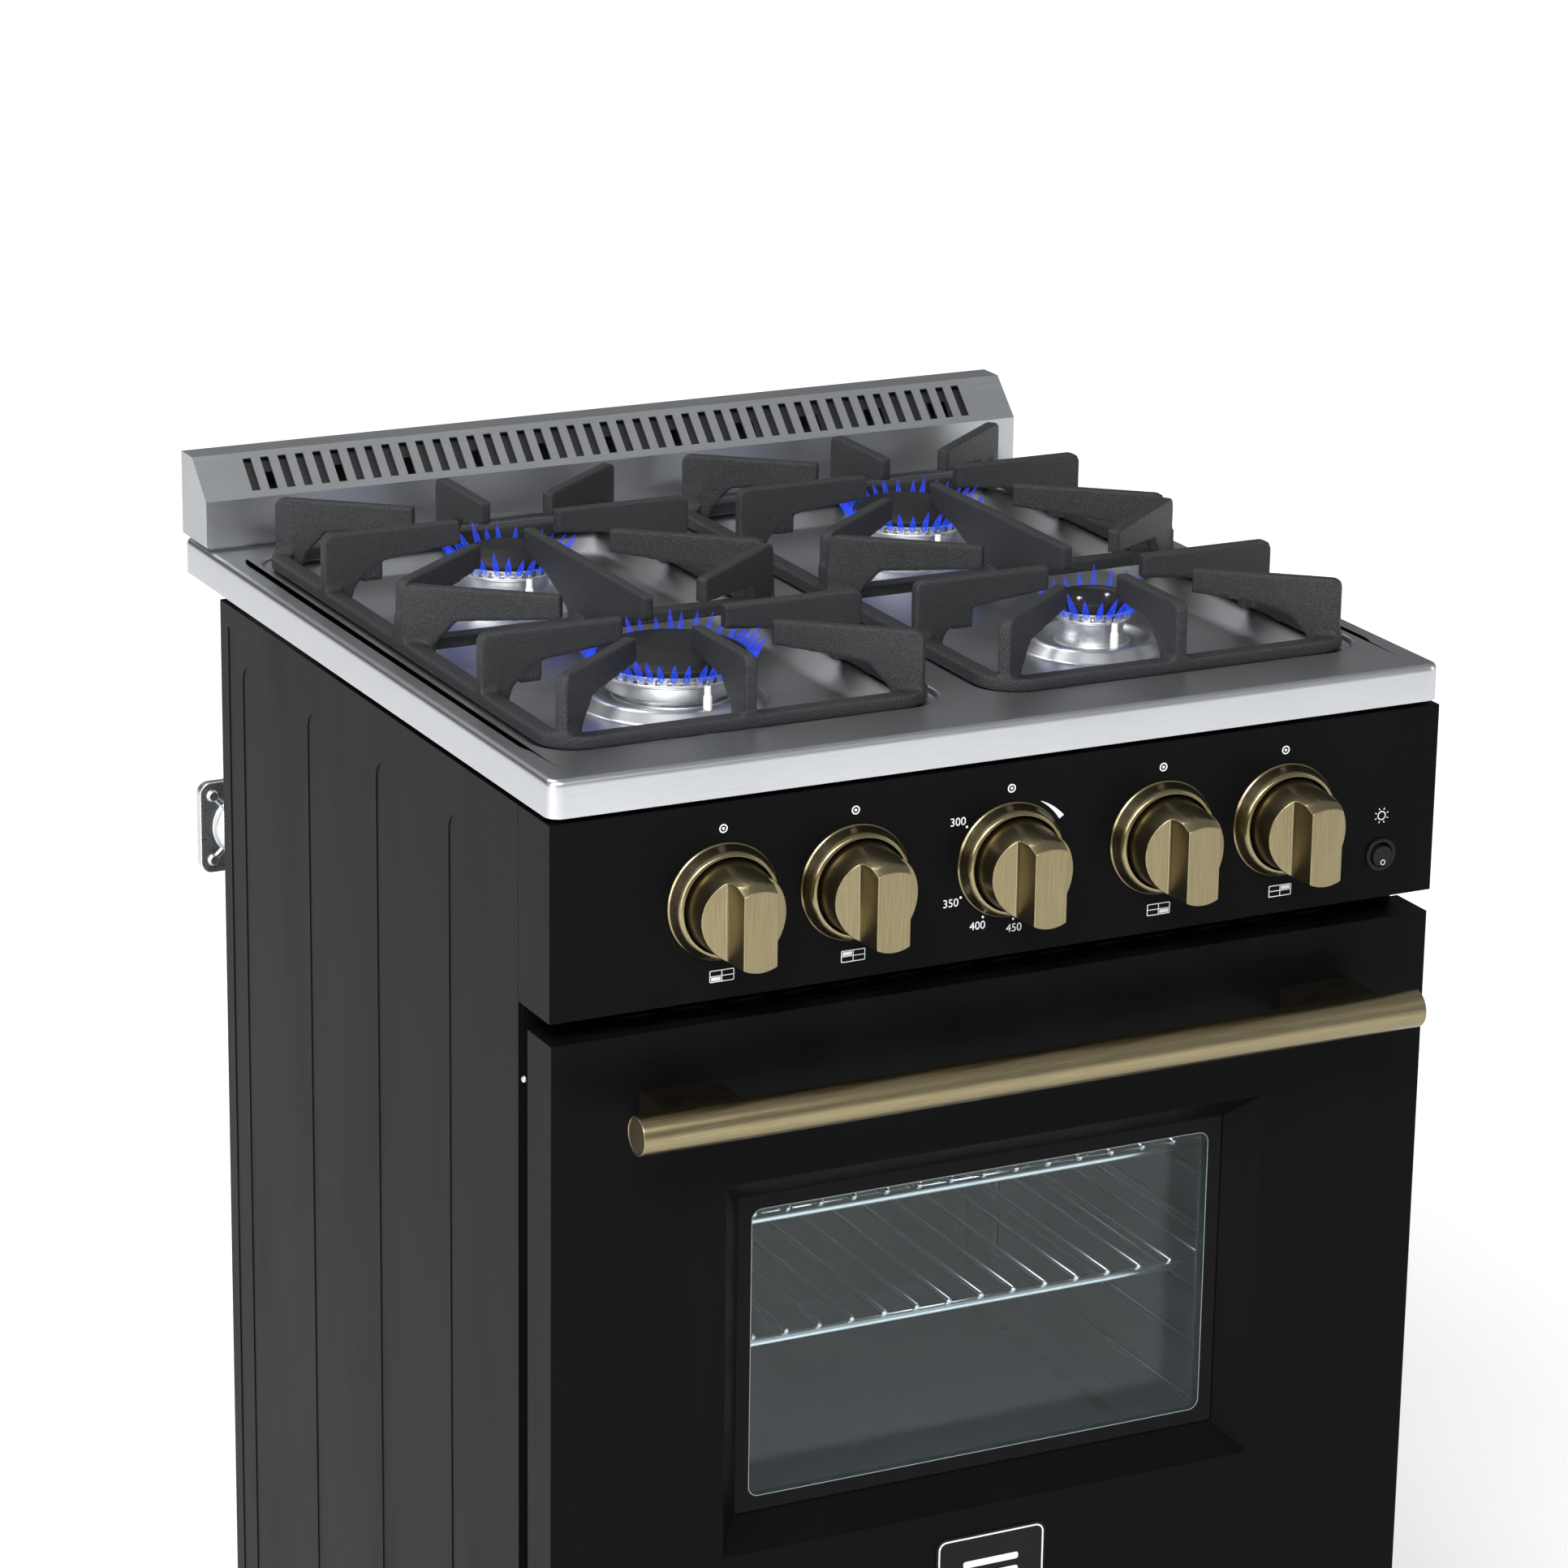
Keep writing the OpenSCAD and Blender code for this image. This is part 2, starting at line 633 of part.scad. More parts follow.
module feed_tubes() {
    z = range_h - 50;
    y = valve_y + 14;
    yb = burner_end + 8;
    x_of = [-knob_x2, -knob_x1, knob_x1, knob_x2];
    color("#b8bbbf") in_frame() {
        for (i = [0:3])
            tube_run([[x_of[i], y, knob_z + 15], [x_of[i], y, z], [BURNERS[i][0], BURNERS[i][1], z],
                [BURNERS[i][0], BURNERS[i][1], base_z]], tube_d);
        for (s = [-1, 1]) {
            end_z = s < 0 ? oven_burner_z : broil_z;
            tube_run([[s*15, y, knob_z - 22], [s*15, y, supply_z], [s*125, manifold_y + 30, supply_z],
                [s*125, yb, supply_z], [s*125, yb, end_z],
                [s*30, yb, end_z], [s*30, burner_end, end_z]], tube_d);
        }
    }
}

module burner_bases() {
    color("#a9acb0") in_frame() for (b = BURNERS) {
        r = hole_r(b[2]) - 1;
        translate([b[0], b[1], 0]) difference() {
            union() {
                translate([0, 0, base_z]) cylinder(r = r, h = head_z - base_z);
                translate([0, 0, floor_z + 4]) cylinder(r = r + 5, h = 1.6);
            }
            translate([0, 0, base_z + 2]) cylinder(r = r - 3, h = head_z - base_z);
        }
    }
}

module burner_heads() {
    h = cap_z - head_z;
    color("#d0d2d4") in_frame() for (b = BURNERS) {
        r = b[2];
        translate([b[0], b[1], head_z]) rotate_extrude()
            polygon([[6, 0], [r - 3.5, 0], [r - 3.5, h - 6], [r, h - 4.5],
                [r, h], [r - 5, h], [r - 7, 3], [6, 3]]);
    }
}

module burner_caps() {
    color("#1f2124") in_frame() for (b = BURNERS) {
        r = b[2];
        translate([b[0], b[1], cap_z]) rotate_extrude()
            polygon([[0, 0], [r - 1, 0], [r + 0.5, 1.5], [r, 4], [r - 5, 6.5], [r*0.5, 10.5], [0, 11.5]]);
    }
}

module igniters() {
    color("#f1efe8") in_frame() for (b = BURNERS) translate([b[0], b[1] - b[2] - 4, 0]) {
        translate([0, 0, floor_z - 12]) cylinder(d = 5.5, h = range_h + 8 - floor_z + 12, $fn = 24);
        translate([0, 0, range_h + 8]) cylinder(d = 1.6, h = 3, $fn = 16);
    }
}

module pressure_regulator() {
    s = reg_s;
    boss_d = 25;
    color("#b4b8bc") in_frame() difference() {
        union() {
            translate([reg_x, reg_y + 5, reg_z]) rotate([90, 0, 0]) linear_extrude(7) round_rect(s, s, 8);
            turned_at(reg_x, reg_z, reg_y) polygon([[0, 0], [23, 0], [21, 6], [16, 10], [0, 12]]);
            y_cyl(reg_x, reg_z, reg_y + 5, reg_y + 13, 44);
            translate([reg_x, reg_y + 1, reg_z - s/2 - 16]) cylinder(d = boss_d, h = s + 22);
            for (a = [45:90:315]) translate([reg_x, reg_y - 2, reg_z]) rotate([0, a, 0])
                translate([20, -1.4, -1.5]) cube([14, 3, 3]);
            for (x = [-1, 1], z = [-1, 1])
                y_cyl(reg_x + x*(s/2 - 9), reg_z + z*(s/2 - 9), reg_y - 4.5, reg_y, 7, 24);
        }
        translate([reg_x, reg_y + 1, reg_z - s/2 - 17]) cylinder(r = inlet_r, h = inlet_l + 1);
        translate([reg_x, reg_y + 1, reg_z + s/2 - 10]) cylinder(d = manifold_d - 1, h = 30);
    }
}

module turned_at(x, z, y) { translate([0, y, 0]) turned(x, z) children(); }

module spark_module() {
    z = cav_top + liner_t + wool_t;
    color("#e4e4e0") in_frame() {
        slab([150, 300, z], [215, 345, z + 24]);
        for (i = [0:3]) translate([158 + i*15, 322, z + 24]) cylinder(d = 7, h = 7, $fn = 24);
    }
}

inlet_x = 205;
inlet_z = range_h - 210;

module power_inlet() {
    color("#17181a") in_frame() difference() {
        slab([inlet_x - 24, back_y, inlet_z - 16], [inlet_x + 24, back_y + 14, inlet_z + 16]);
        slab([inlet_x - 14, back_y + 3, inlet_z - 9], [inlet_x + 14, back_y + 15, inlet_z + 9]);
    }
}

// ---- controls -------------------------------------------------------------------------------------

module knob_bezels() {
    color(BRASS) in_frame() for (x = KNOBS) turned_at(x, knob_z, face_y)
        polygon([[bezel_in, 0], [bezel_out, 0], [bezel_out, 1.6], [bezel_out - 0.8, 2.4],
            [bezel_out - 3.4, 9], [bezel_out - 4.6, 10.6], [bezel_out - 6.1, 11.1], [bezel_in, 10.4]]);
}

// Knob with a raised grip between two scoops. Its round side leans in towards the top.
module knob(x) {
    r = knob_d/2;
    h = knob_back - knob_front;
    lean = 1.9;                     // how much smaller and lower the front is than the back
    grip = 10.7;                    // half width of the grip at its front
    root = grip + 2.7;              // half width of the grip at its root
    floor_y = knob_front + 19;      // depth of the scoops beside the grip
    bevel_a = 14.4;                 // half the slant of the bevel over the grip's upper end
    grip_top = r - 7;               // height of the grip's front face above the knob's middle
    apex_y = knob_front - (grip_top + r)/tan(2*bevel_a);
    color(BRASS) in_frame() difference() {
        intersection() {
            translate([x, knob_back + 2, knob_z]) rotate([90 + atan2(lean, h), 0, 0])
                cylinder(r1 = r, r2 = r - lean, h = h + 4);
            translate([x, apex_y, knob_z - r]) rotate([bevel_a - 90, 0, 0])
                cylinder(r1 = 0, r2 = 6*r*tan(bevel_a), h = 6*r);
            slab([x - r - 1, knob_front, knob_z - r - 9], [x + r + 1, knob_back, knob_z + r + 1]);
        }
        for (s = [-1, 1]) translate([x, 0, knob_z - r - 10]) linear_extrude(2*r + 20)
            polygon([[s*grip, knob_front - 1], [s*(grip + 0.2), knob_front + 1], [s*(root - 1), floor_y - 3],
                [s*root, floor_y - 0.6], [s*(root + 2), floor_y], [s*(r - 2), floor_y + 3],
                [s*(r + 6), floor_y + 5], [s*(r + 6), knob_front - 1]]);
        y_cyl(x, knob_z, spindle_tip - knob_push - 1, knob_back + 1, spindle_d + 2*fit);
    }
}
module knob_1() { knob(KNOBS[0]); }
module knob_2() { knob(KNOBS[1]); }
module knob_3() { knob(KNOBS[2]); }
module knob_4() { knob(KNOBS[3]); }
module knob_5() { knob(KNOBS[4]); }

module spindle(x) { color("#c2c4c6") in_frame() y_cyl(x, knob_z, spindle_tip, valve_y + 24, spindle_d); }
module spindle_1() { spindle(KNOBS[0]); }
module spindle_2() { spindle(KNOBS[1]); }
module spindle_3() { spindle(KNOBS[2]); }
module spindle_4() { spindle(KNOBS[3]); }
module spindle_5() { spindle(KNOBS[4]); }

rocker_bore = rocker_d + 1.8;
rocker_y = 3;                       // axis of the rocker
rocker_pin = 2.4;
rocker_tilt = 7;

module switch_housing() {
    color("#0f1012") in_frame() difference() {
        union() {
            y_cyl(switch_x, switch_z, face_y - 2, face_y, 21);
            y_cyl(switch_x, switch_z, face_y, 20, 18.6);
        }
        y_cyl(switch_x, switch_z, face_y - 3, 14, rocker_bore);
        translate([switch_x - 8.9, rocker_y, switch_z]) rotate([0, 90, 0])
            cylinder(d = rocker_pin + 2*fit, h = 17.8);
    }
}

module switch_rocker() {
    color("#101113") in_frame() translate([switch_x, rocker_y, switch_z]) rotate([rocker_tilt, 0, 0]) {
        rotate([90, 0, 0]) translate([0, 0, -4]) cylinder(d = rocker_d, h = 9.6);
        translate([-8.7, 0, 0]) rotate([0, 90, 0]) cylinder(d = rocker_pin, h = 17.4);
    }
}

// ---- door -----------------------------------------------------------------------------------------

skin_t = 1.2;
vent_l = 25;
vent_w = 6;
vent_n = 14;
vent_pitch = 35.5;
slot_y = 10;                        // the hinge slots in the door begin here
plug_d = 14;                        // how far the door's liner reaches into the cavity

// bevelled hole of the window between two depths, grown by g all round
module bevel(g, y0, y1) {
    hull() {
        slab([-win_w/2 - g, y0 - 0.01, win_z - win_h/2 - g], [win_w/2 + g, y0, win_z + win_h/2 + g]);
        slab([-open_w/2 - g, y1, win_z - open_h/2 - g], [open_w/2 + g, y1 + 0.01, win_z + open_h/2 + g]);
    }
}

module hinge_slots(y0, y1) {
    both() slab([hinge_x - hinge_t/2 - 2, y0, door_bot - 1], [hinge_x + hinge_t/2 + 2, y1, pivot_z + 15]);
}

module bracket_holes(y0, y1, d) {
    for (x = [-1, 1], dx = [-14, 14]) y_cyl(x*bracket_x + dx, handle_z, y0, y1, d, 24);
}

module door_skin() {
    t = skin_t;
    glass_y = door_y + bevel_d;
    color(BLACK) in_frame() difference() {
        union() {
            difference() {
                slab([-door_half, door_y, door_bot], [door_half, door_back, door_top]);
                slab([-door_half + t, door_y + t, door_bot + t],
                    [door_half - t, door_back + 1, door_top - t]);
            }
            bevel(t, door_y + t/2, glass_y - t);
            slab([-open_w/2 - 12, glass_y - t, win_z - open_h/2 - 12],
                [open_w/2 + 12, glass_y, win_z + open_h/2 + 12]);
        }
        bevel(0, door_y, glass_y - t);
        slab([-open_w/2, door_y - 1, win_z - open_h/2], [open_w/2, glass_y + 1, win_z + open_h/2]);
        for (row = [14.4, 28.9], i = [0:vent_n - 1])
            translate([(i - (vent_n - 1)/2)*vent_pitch, door_y + row, door_top - 3])
                linear_extrude(5) obround(vent_l, vent_w);
        hinge_slots(slot_y, door_back + 1);
        bracket_holes(door_y - 1, door_y + 3, 5.6);
    }
}

module pane(y, over) {
    in_frame() slab([-open_w/2 - over, y, win_z - open_h/2 - over],
        [open_w/2 + over, y + pane_t, win_z + open_h/2 + over]);
}
module door_glass_outer() { color("#8fa3ad", 0.4) pane(door_y + bevel_d, 12); }
module door_glass_inner() { color("#9fb1ba", 0.4) pane(door_back + plug_d - liner_t - pane_t, 14); }

module door_liner() {
    t = liner_t;
    x = door_half - skin_t;
    px = cav_w/2 - 7;
    pz = cav_h/2 - 7;
    y1 = door_back + plug_d;
    color("#4a5056") in_frame() difference() {
        union() {
            slab([-x, door_back - t, door_bot + skin_t], [x, door_back, door_top - skin_t]);
            slab([-px, door_back - t/2, mouth_z - pz], [px, y1, mouth_z + pz]);
        }
        slab([-px + t, door_back - 2*t, mouth_z - pz + t], [px - t, y1 - t, mouth_z + pz - t]);
        slab([-open_w/2, door_back, win_z - open_h/2], [open_w/2, y1 + 1, win_z + open_h/2]);
        hinge_slots(slot_y, door_back + 1);
    }
}

module door_gasket() {
    color("#6d6a62") in_frame() translate([0, frame_y, mouth_z]) rotate([90, 0, 0])
        linear_extrude(frame_y - door_back - gap) difference() {
            round_rect(cav_w + 38, cav_h + 38, 16);
            round_rect(cav_w + 16, cav_h + 16, 8);
        }
}

module handle_bar() {
    color(BRASS) in_frame() translate([-handle_l/2, handle_y, handle_z]) rotate([0, 90, 0])
        cylinder(d = handle_d, h = handle_l, $fn = 96);
}

module handle_brackets() {
    h = 19;
    color("#80673d") in_frame() difference() {
        both() slab([bracket_x - bracket_w/2, handle_y, handle_z - h/2],
            [bracket_x + bracket_w/2, door_y, handle_z + h/2]);
        translate([-half_w, handle_y, handle_z]) rotate([0, 90, 0])
            cylinder(d = handle_d, h = range_w, $fn = 96);
        bracket_holes(door_y - 18, door_y + 1, 5.2);
    }
}

module door_screws() {
    color("#c9ccd0") in_frame() {
        bracket_holes(door_y + skin_t, door_y + skin_t + 3, 9);
        bracket_holes(door_y - 14, door_y + skin_t, 5);
    }
}

module hinge_arms() {
    inner = hinge_x - hinge_t/2 - 6;
    outer = hinge_x + hinge_t/2 + 6;
    y0 = door_y + skin_t;
    color("#9da0a4") in_frame() both() {
        for (x = [inner, outer - 3]) slab([x, y0, pivot_z - 10], [x + 3, door_back - liner_t, pivot_z + 90]);
        slab([inner, y0, pivot_z + 22], [outer, y0 + 3, pivot_z + 90]);
        bar([inner, pivot_y, pivot_z], [outer, pivot_y, pivot_z], pin_d, 48);
    }
}

module hinge_brackets() {
    color("#85888c") in_frame() both() difference() {
        union() {
            slab([hinge_x - hinge_t/2, pivot_y, pivot_z - 9], [hinge_x + hinge_t/2, frame_y, pivot_z + 9]);
            bar([hinge_x - hinge_t/2, pivot_y, pivot_z], [hinge_x + hinge_t/2, pivot_y, pivot_z], 18, 48);
            slab([hinge_x - 12, frame_y - 1.5, pivot_z - 9], [hinge_x + 12, frame_y, pivot_z + 9]);
        }
        bar([hinge_x - 10, pivot_y, pivot_z], [hinge_x + 10, pivot_y, pivot_z], pin_d + 2*fit, 48);
    }
}

module door_badge() {
    w = 77;
    h = 58;
    z = win_z - win_h/2 - 18 - h/2;
    color("#24262a") in_frame() translate([0, door_y, z]) rotate([90, 0, 0])
        linear_extrude(1.4) round_rect(w, h, 5);
}

// ---- grates ---------------------------------------------------------------------------------------

// plate standing on the frame bar at a, reaching towards b, both [x, y]
module finger(a, b) {
    l = norm(b - a);
    t = range_h + finger_top;
    translate([a[0], a[1], 0]) rotate(atan2(b[1] - a[1], b[0] - a[0])) translate([0, finger_t/2, 0])
        rotate([90, 0, 0]) linear_extrude(finger_t)
            polygon([[0, bar_bot + 1], [0, t - 5], [1.5, t - 1.5], [5, t], [l, t], [l, t - finger_tip],
                [34, t - 21], [21, bar_top], [19, bar_bot + 1]]);
}

module grate() {
    w = grate_w/2;
    l = grate_l/2;
    in_x = 0.5;
    reach = 34;                     // distance from the burner's centre to the straight fingers' tips
    by = l - burner_inset;
    mid_foot = 21;
    t = range_h + finger_top;
    translate([0, 0, bar_bot]) linear_extrude(bar_top - bar_bot) difference() {
        round_rect(2*w, 2*l, grate_r);
        round_rect(2*w - 2*bar_w, 2*l - 2*bar_w, grate_r - bar_w);
    }
    slab([-w + bar_w/2, -bar_w/2, bar_bot], [w - bar_w/2, bar_w/2, bar_top - 0.5]);
    for (s = [-1, 1], e = [-1, 1]) {
        finger([s*(w - in_x), e*by], [s*reach, e*by]);
        finger([s*(w - 9), e*(l - 9)], [s*47, e*(by + 42)]);
        finger([s*(w - in_x - 3), e*3], [s*47, e*(by - 58)]);
        translate([s*(w - 7), e*(l - 80), ledge_z + 0.2]) cylinder(d = 8, h = 3, $fn = 24);
    }
    for (e = [-1, 1]) finger([0, e*(l - in_x)], [0, e*(by + reach)]);
    rotate([90, 0, 90]) translate([0, 0, -finger_t/2]) linear_extrude(finger_t)
        polygon([[-mid_foot, bar_bot + 1], [-mid_foot - 2, bar_top], [-by + reach + 34, t - 21],
            [-by + reach, t - finger_tip], [-by + reach, t], [by - reach, t], [by - reach, t - finger_tip],
            [by - reach - 34, t - 21], [mid_foot + 2, bar_top], [mid_foot, bar_bot + 1]]);
}
module grate_at(s) { color(IRON) in_frame() translate([s*grate_cx, grate_front + grate_l/2, 0]) grate(); }
module grate_left() { grate_at(-1); }
module grate_right() { grate_at(1); }

cooktop();
backguard();
backguard_baffle();
side_panel_left();
side_panel_right();
back_panel();
base_frame();
kick_panel();
leveling_legs();
control_panel();
front_frame();
oven_liner();
door_gasket();
rack_guides();
oven_floor();
oven_burner();
broil_burner();
insulation();
flue_duct();
oven_lamp();
gas_manifold();
valve_bodies();
oven_thermostat();
feed_tubes();
burner_bases();
burner_heads();
burner_caps();
igniters();
pressure_regulator();
spark_module();
knob_bezels();
switch_housing();
body_screws();
hinge_brackets();
power_inlet();
door_skin();
door_glass_outer();
door_glass_inner();
door_liner();
handle_bar();
handle_brackets();
hinge_arms();
door_badge();
door_screws();
grate_left();
grate_right();
rack_upper();
rack_lower();
switch_rocker();
knob_1();
knob_2();
knob_3();
knob_4();
knob_5();
spindle_1();
spindle_2();
spindle_3();
spindle_4();
spindle_5();
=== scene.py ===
"""Freestanding gas range: the visible pieces, their finishes and the studio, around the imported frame."""

import json
import math
import random

import bmesh
import bpy
from bpy.props import FloatProperty, FloatVectorProperty, IntProperty, PointerProperty
from mathutils import Matrix, Vector
from mathutils.geometry import tessellate_polygon


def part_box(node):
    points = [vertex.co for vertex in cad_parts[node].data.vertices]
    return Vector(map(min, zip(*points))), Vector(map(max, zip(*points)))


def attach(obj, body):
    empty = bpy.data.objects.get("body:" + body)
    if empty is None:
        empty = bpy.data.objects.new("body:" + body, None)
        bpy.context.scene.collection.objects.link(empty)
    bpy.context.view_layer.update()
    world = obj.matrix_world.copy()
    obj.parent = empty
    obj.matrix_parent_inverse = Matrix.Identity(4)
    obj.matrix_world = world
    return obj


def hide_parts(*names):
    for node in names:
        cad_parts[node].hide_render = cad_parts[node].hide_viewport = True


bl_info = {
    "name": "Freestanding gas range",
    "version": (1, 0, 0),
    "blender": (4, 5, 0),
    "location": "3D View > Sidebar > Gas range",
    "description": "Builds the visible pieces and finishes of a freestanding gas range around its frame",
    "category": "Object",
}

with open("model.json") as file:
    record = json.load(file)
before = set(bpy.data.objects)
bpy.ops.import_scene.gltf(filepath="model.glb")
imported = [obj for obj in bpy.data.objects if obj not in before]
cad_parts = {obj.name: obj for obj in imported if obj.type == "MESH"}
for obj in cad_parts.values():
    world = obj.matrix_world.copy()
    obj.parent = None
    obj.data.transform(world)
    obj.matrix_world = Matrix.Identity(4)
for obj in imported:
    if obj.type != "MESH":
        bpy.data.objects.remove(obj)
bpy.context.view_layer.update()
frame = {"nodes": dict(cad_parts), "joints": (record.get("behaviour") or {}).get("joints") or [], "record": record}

MM = 0.001
NODES = frame["nodes"]

# ---- places read from the frame -------------------------------------------------------------------

CAP_SEAT = 12.5 * MM  # height of the burner caps' seats above the cooktop
FLAME_ROOT = 9.5 * MM  # height of the flame ports above the cooktop
LARGE_CAP = 0.046  # cap radius of the burner that has the full number of ports

top_low, top_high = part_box("cooktop")
bar_low, bar_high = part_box("handle_bar")
DOOR_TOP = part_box("door_skin")[1].z
PANE_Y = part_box("door_glass_outer")[0].y
PANEL_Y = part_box("control_panel")[0].y
FRONT_Y = top_low.y
TOP_Z = round(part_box("burner_caps")[0].z - CAP_SEAT, 6)
JOINTS = {j["name"]: j for j in frame["joints"]}
KNOB_AXES = [JOINTS[f"knob_{i}_turn"]["pos_m"] for i in range(1, 6)]
KNOB_Z = KNOB_AXES[0][2]
GRATES = [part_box("grate_left"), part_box("grate_right")]


def middle(box):
    """Centre of a (low, high) box."""
    return (box[0] + box[1]) / 2


# ---- sizes and colours that a user may change -----------------------------------------------------


class RangeSizes(bpy.types.PropertyGroup):
    """Sizes of the visible pieces that the frame doesn't fix."""

    burner_inset: FloatProperty(
        name="Burner inset", description="Distance of a burner's centre from its grate's front or back edge",
        default=0.110, unit="LENGTH")
    caps: FloatVectorProperty(
        name="Burner caps", description="Cap radii: front left, rear left, rear right, front right",
        size=4, default=(0.046, 0.0315, 0.0375, 0.024), unit="LENGTH")
    well_depth: FloatProperty(
        name="Well depth", description="Depth of the pressed wells below the cooktop",
        default=0.014, unit="LENGTH")
    cast_voxel: FloatProperty(
        name="Casting detail", description="Size of the cells that the cast grates are rounded with",
        default=0.0013, unit="LENGTH")
    sheet_edge: FloatProperty(
        name="Sheet bend", description="Radius of the bends of the painted sheets",
        default=0.0004, unit="LENGTH")
    ports: IntProperty(
        name="Ports", description="Number of flame ports of the largest burner", default=40)
    wire: FloatProperty(
        name="Rack wire", description="Radius of the long wires of a rack", default=0.002, unit="LENGTH")
    frit: FloatProperty(
        name="Window border", description="Width of the black border printed on the window",
        default=0.0095, unit="LENGTH")


def colour(name, text, value):
    """A colour property."""
    return FloatVectorProperty(name=name, description=text, default=value, subtype="COLOR", size=3,
                               min=0, max=1)


class RangeColours(bpy.types.PropertyGroup):
    """Base colours of the finishes."""

    enamel: colour("Body enamel", "Satin enamel of the body and the door", (0.0030, 0.0030, 0.0034))
    steel: colour("Stainless steel", "Brushed steel of the cooktop and the backguard", (0.56, 0.57, 0.585))
    brass: colour("Antique brass", "Light part of the brushed brass", (0.40, 0.34, 0.195))
    brass_dark: colour("Antique brass, dark", "Toned part of the brushed brass", (0.085, 0.065, 0.033))
    iron: colour("Cast iron", "Matt enamel of the grates", (0.0090, 0.0096, 0.0105))
    oven: colour("Oven enamel", "Ground colour of the oven's enamel", (0.030, 0.035, 0.041))
    flame: colour("Flame", "Body of the gas flames", (0.0, 0.10, 1.0))


def sizes():
    """The sizes in use."""
    return bpy.context.scene.range_sizes


def colours():
    """The colours in use."""
    return bpy.context.scene.range_colours


# ---- shading nodes --------------------------------------------------------------------------------


def put(tree, kind, values=None, **settings):
    """Adds a node, sets its properties and fills or links its inputs."""
    node = tree.nodes.new(kind)
    for key, value in settings.items():
        setattr(node, key, value)
    for key, value in (values or {}).items():
        if isinstance(value, bpy.types.NodeSocket):
            tree.links.new(value, node.inputs[key])
        else:
            node.inputs[key].default_value = value
    return node


def math_node(tree, operation, a, b=0.0, clamp=False):
    """A maths node, by its output."""
    return put(tree, "ShaderNodeMath", {0: a, 1: b}, operation=operation, use_clamp=clamp).outputs[0]


def span(tree, value, low, high, to_low=0.0, to_high=1.0):
    """A value mapped from one span to another, clamped."""
    return put(tree, "ShaderNodeMapRange", {"Value": value, "From Min": low, "From Max": high,
                                            "To Min": to_low, "To Max": to_high}).outputs["Result"]


def mix_colour(tree, share, a, b):
    """A mix of two colours."""
    node = put(tree, "ShaderNodeMix", {0: share}, data_type="RGBA")
    for socket, value in ((node.inputs[6], a), (node.inputs[7], b)):
        if isinstance(value, bpy.types.NodeSocket):
            tree.links.new(value, socket)
        else:
            socket.default_value = (*value[:3], 1.0)
    return node.outputs[2]


def noise(tree, vector, scale, detail=2.0, rough=0.5):
    """Fractal noise, by its value."""
    return put(tree, "ShaderNodeTexNoise", {"Vector": vector, "Scale": scale, "Detail": detail,
                                            "Roughness": rough}).outputs[0]


def stretch(tree, vector, factors, offset=(0.0, 0.0, 0.0)):
    """Coordinates scaled along each axis."""
    return put(tree, "ShaderNodeMapping", {"Vector": vector, "Scale": factors, "Location": offset}).outputs[0]


def shader_group(name, inputs, outputs, build):
    """Makes a named group once. build gets the tree and its inputs, and returns its outputs by name."""
    tree = bpy.data.node_groups.get(name)
    if tree:
        return tree
    tree = bpy.data.node_groups.new(name, "ShaderNodeTree")
    for label, kind, value in inputs:
        socket = tree.interface.new_socket(name=label, in_out="INPUT", socket_type=kind)
        socket.default_value = value
    for label, kind in outputs:
        tree.interface.new_socket(name=label, in_out="OUTPUT", socket_type=kind)
    start = put(tree, "NodeGroupInput")
    put(tree, "NodeGroupOutput", build(tree, {s.name: s for s in start.outputs if s.name}))
    return tree


FLOAT, COLOUR, VECTOR = "NodeSocketFloat", "NodeSocketColor", "NodeSocketVector"
SURFACE = [("Color", COLOUR), ("Roughness", FLOAT), ("Normal", VECTOR)]


def grain_group():
    """Brushed metal: fine lines along one direction, with soft wear and handling marks."""
    def build(t, i):
        place = put(t, "ShaderNodeTexCoord").outputs["Object"]
        drawn = put(t, "ShaderNodeMapping", {"Vector": place, "Scale": i["Stretch"]}).outputs[0]
        lines = noise(t, drawn, 1.0, 5.0, 0.62)
        cloud = noise(t, place, 9.0, 3.0)
        smear = span(t, noise(t, stretch(t, place, (14, 14, 60)), 1.0, 4.0, 0.6), 0.42, 0.68)
        tone = math_node(t, "MULTIPLY_ADD", lines, i["Contrast"])
        t.nodes[-1].inputs[2].default_value = 0.0
        base = mix_colour(t, tone, i["Dark"], i["Light"])
        base = mix_colour(t, math_node(t, "MULTIPLY", smear, 0.05), base, (0.10, 0.10, 0.11))
        rough = math_node(t, "ADD", i["Roughness"], math_node(t, "MULTIPLY", lines, 0.12))
        rough = math_node(t, "ADD", rough, math_node(t, "MULTIPLY", cloud, 0.05))
        bump = put(t, "ShaderNodeBump", {"Strength": i["Depth"], "Distance": 0.0002, "Height": lines})
        return {"Color": base, "Roughness": rough, "Normal": bump.outputs[0]}
    inputs = [("Light", COLOUR, (1, 1, 1, 1)), ("Dark", COLOUR, (0.5, 0.5, 0.5, 1)),
              ("Stretch", VECTOR, (30, 3000, 3000)), ("Contrast", FLOAT, 1.5),
              ("Roughness", FLOAT, 0.25), ("Depth", FLOAT, 0.1)]
    return shader_group("brushed grain", inputs, SURFACE, build)


